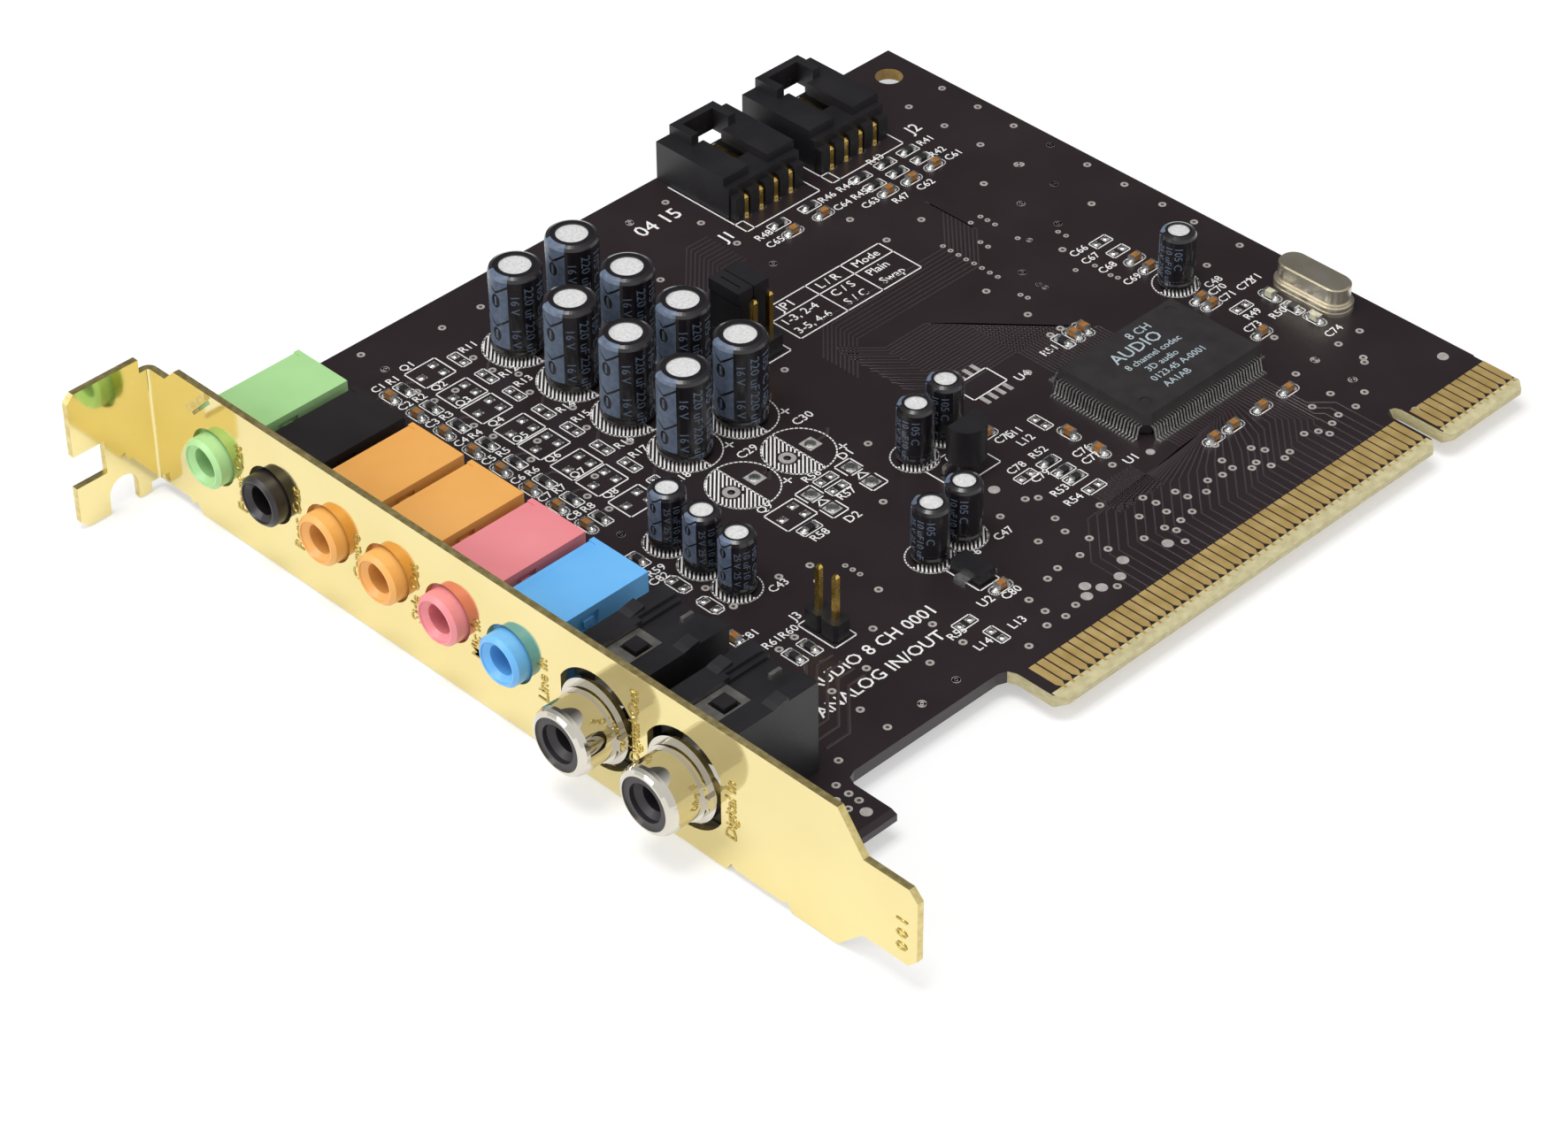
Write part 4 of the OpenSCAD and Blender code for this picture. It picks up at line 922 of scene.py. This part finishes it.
# Print on the capacitor sleeves
def sleeve_print(prefix, height, radius, places, stripe, fields, oval, words):
    """The minus stripe with its marks and the columns of words, on every sleeve."""
    flat = bmesh.new()
    half = stripe / 2

    def patch(outline):
        """A thin prism of ink over a flat outline."""
        low = [flat.verts.new((u, v, -0.01)) for u, v in outline]
        top = [flat.verts.new((u, v, 0.03)) for u, v in outline]
        flat.faces.new(list(reversed(low)))
        flat.faces.new(top)
        for i in range(len(outline)):
            j = (i + 1) % len(outline)
            flat.faces.new((low[i], low[j], top[j], top[i]))

    # Fields of ink between dark chevrons, most with an oval left open round a bar
    tall, wide_half = oval
    for low_tip, low_edge, mid, high_tip, high_edge in fields:
        bend = [] if mid is None else [
            (wide_half * math.sin(math.pi * i / 12), mid - tall * math.cos(math.pi * i / 12))
            for i in range(13)]
        patch([(0, low_tip)] + [(-u, v) for u, v in bend]
              + [(0, high_tip), (-half, high_edge), (-half, low_edge)])
        patch([(0, low_tip), (half, low_edge), (half, high_edge), (0, high_tip)]
              + list(reversed(bend)))
        if mid is not None:
            patch(rect(0, mid, wide_half * 0.44, tall * 1.24))
    text = lettering([(word, u, v, size, -90, "CENTER") for word, u, v, size in words], 0.03)
    joined = bpy.data.meshes.new("flat_print")
    text.to_mesh(joined)
    text.free()
    flat.from_mesh(joined)
    flat.normal_update()
    bmesh.ops.triangulate(flat, faces=flat.faces)
    lines = [((cut * radius / 8, 0, 0), (1, 0, 0)) for cut in range(-9, 24)]
    lines += [((0, height - 0.6 + rise, 0), (0, 1, 0)) for rise in (0, 0.435, 0.909)]
    for spot_on, normal in lines:
        bmesh.ops.bisect_plane(flat, geom=flat.verts[:] + flat.edges[:] + flat.faces[:],
                               plane_co=spot_on, plane_no=normal)
    bmesh.ops.recalc_face_normals(flat, faces=flat.faces)
    flat.to_mesh(joined)
    flat.free()
    for k, (x, y, face) in enumerate(places):
        mesh = joined.copy()
        round_cylinder(mesh, radius, height, x, y, face)
        piece(f"{prefix}_print_{k + 1}", mesh, sleeve_ink)


# Each field: tip and edge of its lower chevron, middle of its oval, tip and edge above it
large_fields = [(1.8, 1.8, 3.5, 4.5, 5.7), (4.85, 6.05, 8.2, 9.2, 10.4),
                (9.55, 10.75, None, 12.1, 12.1)]
large_words = [("16 V", 2.5, 8.1, 1.1), ("16 V", 2.5, 3.4, 1.1), ("220 uF", 4.2, 8.0, 1.25),
               ("220 uF", 4.2, 3.1, 1.25), ("105 C", 6.0, 8.2, 1.4), ("105 C", 6.0, 3.3, 1.4)]
sleeve_print("large_sleeve", LARGE_H, LARGE_R, [(x, y, 181) for x, y in LARGE_CAPS], 3.4,
             large_fields, (0.95, 0.66), large_words)
small_fields = [(1.8, 1.8, 2.95, 3.7, 4.5), (3.95, 4.75, 6.05, 6.75, 7.5),
                (7.0, 7.75, None, 8.1, 8.1)]
small_words = [("25 V", 1.7, 5.4, 0.8), ("25 V", 1.7, 2.9, 0.8), ("10 uF", 2.8, 5.3, 0.9),
               ("10 uF", 2.8, 2.5, 0.9), ("105 C", 4.0, 5.0, 1.0)]
sleeve_print("small_sleeve", SMALL_H, SMALL_R, [(x, y, 181 if k < 3 else 118)
                                                for k, (x, y) in enumerate(SMALL_CAPS)],
             2.2, small_fields, (0.66, 0.45), small_words)

# Print on the audio chip, read from its -X side
chip_lines = [(text, x, y, size, 0, "CENTER") for text, x, y, size in (
    ("8 CH", 2.0, 5.0, 1.3), ("AUDIO", -0.6, 3.0, 1.9), ("8 channel codec", 0.0, 0.9, 1.05),
    ("3D audio", -0.4, -0.8, 1.05), ("0123.45 A-0001", 0.6, -2.5, 1.05),
    ("AA1AB", -1.6, -4.2, 1.05))]
CHIP_TOP = 2.96
settled(lettering(chip_lines, 0.02), "chip_words",
        Matrix.Translation((*CHIP, CHIP_TOP)), chip_print)

# Words beside the holes of the bracket, read upward on its outer face
side_words = [("Front Out", "jacks", 356, 381), ("Rear Out", "jacks", 441, 440),
              ("Centre", "jacks", 529, 497), ("Side Out", "jacks", 615, 550),
              ("Mic In", "jacks", 705, 617), ("Line In", "jacks", 804, 678),
              ("Digital Out", "foot", 230, 90), ("Digital In", "foot", 390, 228),
              ("0 0 1", "foot", 673, 432)]
words = []
for text, close_up, u, v in side_words:
    _, across, up = sighted(close_up, u, v, 0, OUTER)
    words.append((text, -across, up, 1.65, 90, "CENTER"))
upright = Matrix(((0, 0, -1, OUTER - 0.01), (-1, 0, 0, 0), (0, 1, 0, 0), (0, 0, 0, 1)))
# The stamped words carry painted shade of their edges in their darker gold
settled(lettering(words, 0.16), "bracket_words", upright, letter_gold_painted_shade)

# Light, floor and camera
FLOOR_REACH, FLOOR_GAP = 6.0, 0.0002  # metres
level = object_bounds()[0].z - FLOOR_GAP
floor_mesh = bpy.data.meshes.new("floor")
floor_mesh.from_pydata([(x, y, level) for x, y in rect(0, 0, 2 * FLOOR_REACH, 2 * FLOOR_REACH)],
                       [], [(0, 1, 2, 3)])
floor = bpy.data.objects.new("floor", floor_mesh)
bpy.context.scene.collection.objects.link(floor)
paper = bpy.data.materials.new("white_backdrop_paper")
paper.use_nodes = True
paper_tree = paper.node_tree
paper_tree.nodes.clear()
sheet = add(paper_tree, "ShaderNodeBsdfDiffuse", {"Color": linear("#fbfbfb")})
lit = add(paper_tree, "ShaderNodeEmission", {"Color": (1, 1, 1, 1), "Strength": 1.0})
rays = add(paper_tree, "ShaderNodeLightPath")
both = add(paper_tree, "ShaderNodeMath",
           {0: rays.outputs["Is Camera Ray"], 1: rays.outputs["Is Glossy Ray"]},
           operation="MAXIMUM")
part = add(paper_tree, "ShaderNodeMath", {0: both.outputs[0], 1: 0.45}, operation="MULTIPLY")
blend = add(paper_tree, "ShaderNodeMixShader", {0: part.outputs[0], 1: sheet.outputs[0],
                                                2: lit.outputs[0]})
add(paper_tree, "ShaderNodeOutputMaterial", {"Surface": blend.outputs[0]})
floor_mesh.materials.append(paper)

world = bpy.data.worlds.new("studio")
bpy.context.scene.world = world
world.use_nodes = True
sky = world.node_tree
sky.nodes.clear()
# The far upper side of the studio stays dark, so flat dark tops keep their depth
outward = add(sky, "ShaderNodeTexCoord")
facing = add(sky, "ShaderNodeVectorMath", {0: outward.outputs["Generated"],
                                           1: (0.55, 0.56, 0.62)}, operation="DOT_PRODUCT")
dim = add(sky, "ShaderNodeMapRange", {"Value": facing.outputs["Value"], "From Min": 0.45,
                                      "From Max": 0.92, "To Min": 0.85, "To Max": 0.1})
glow = add(sky, "ShaderNodeBackground", {"Color": (1, 1, 1, 1), "Strength": dim.outputs[0]})
add(sky, "ShaderNodeOutputWorld", {"Surface": glow.outputs[0]})


def lamp(name, place, aim, size, power):
    """A soft square lamp that looks at aim."""
    data = bpy.data.lights.new(name, "AREA")
    data.energy = power
    data.size = size
    made = bpy.data.objects.new(name, data)
    made.location = place
    made.rotation_mode = "QUATERNION"
    made.rotation_quaternion = (Vector(aim) - Vector(place)).to_track_quat("-Z", "Y")
    bpy.context.scene.collection.objects.link(made)


middle = (-0.045, 0.05, 0.0)
lamp("top_softbox", (-0.25, 0.05, 0.85), middle, 0.4, 4.5)
lamp("left_softbox", (-0.75, 0.35, 0.35), middle, 0.4, 2.0)

eye = bpy.data.cameras.new("camera")
eye.sensor_width = SENSOR
eye.lens = LENS
camera = bpy.data.objects.new("camera", eye)
bpy.context.scene.collection.objects.link(camera)
camera.matrix_world = Matrix.Translation(EYE) @ EYE_TURN
eye.clip_start, eye.clip_end = 0.01, 20
bpy.context.scene.camera = camera
bpy.context.scene.view_settings.view_transform = "Standard"
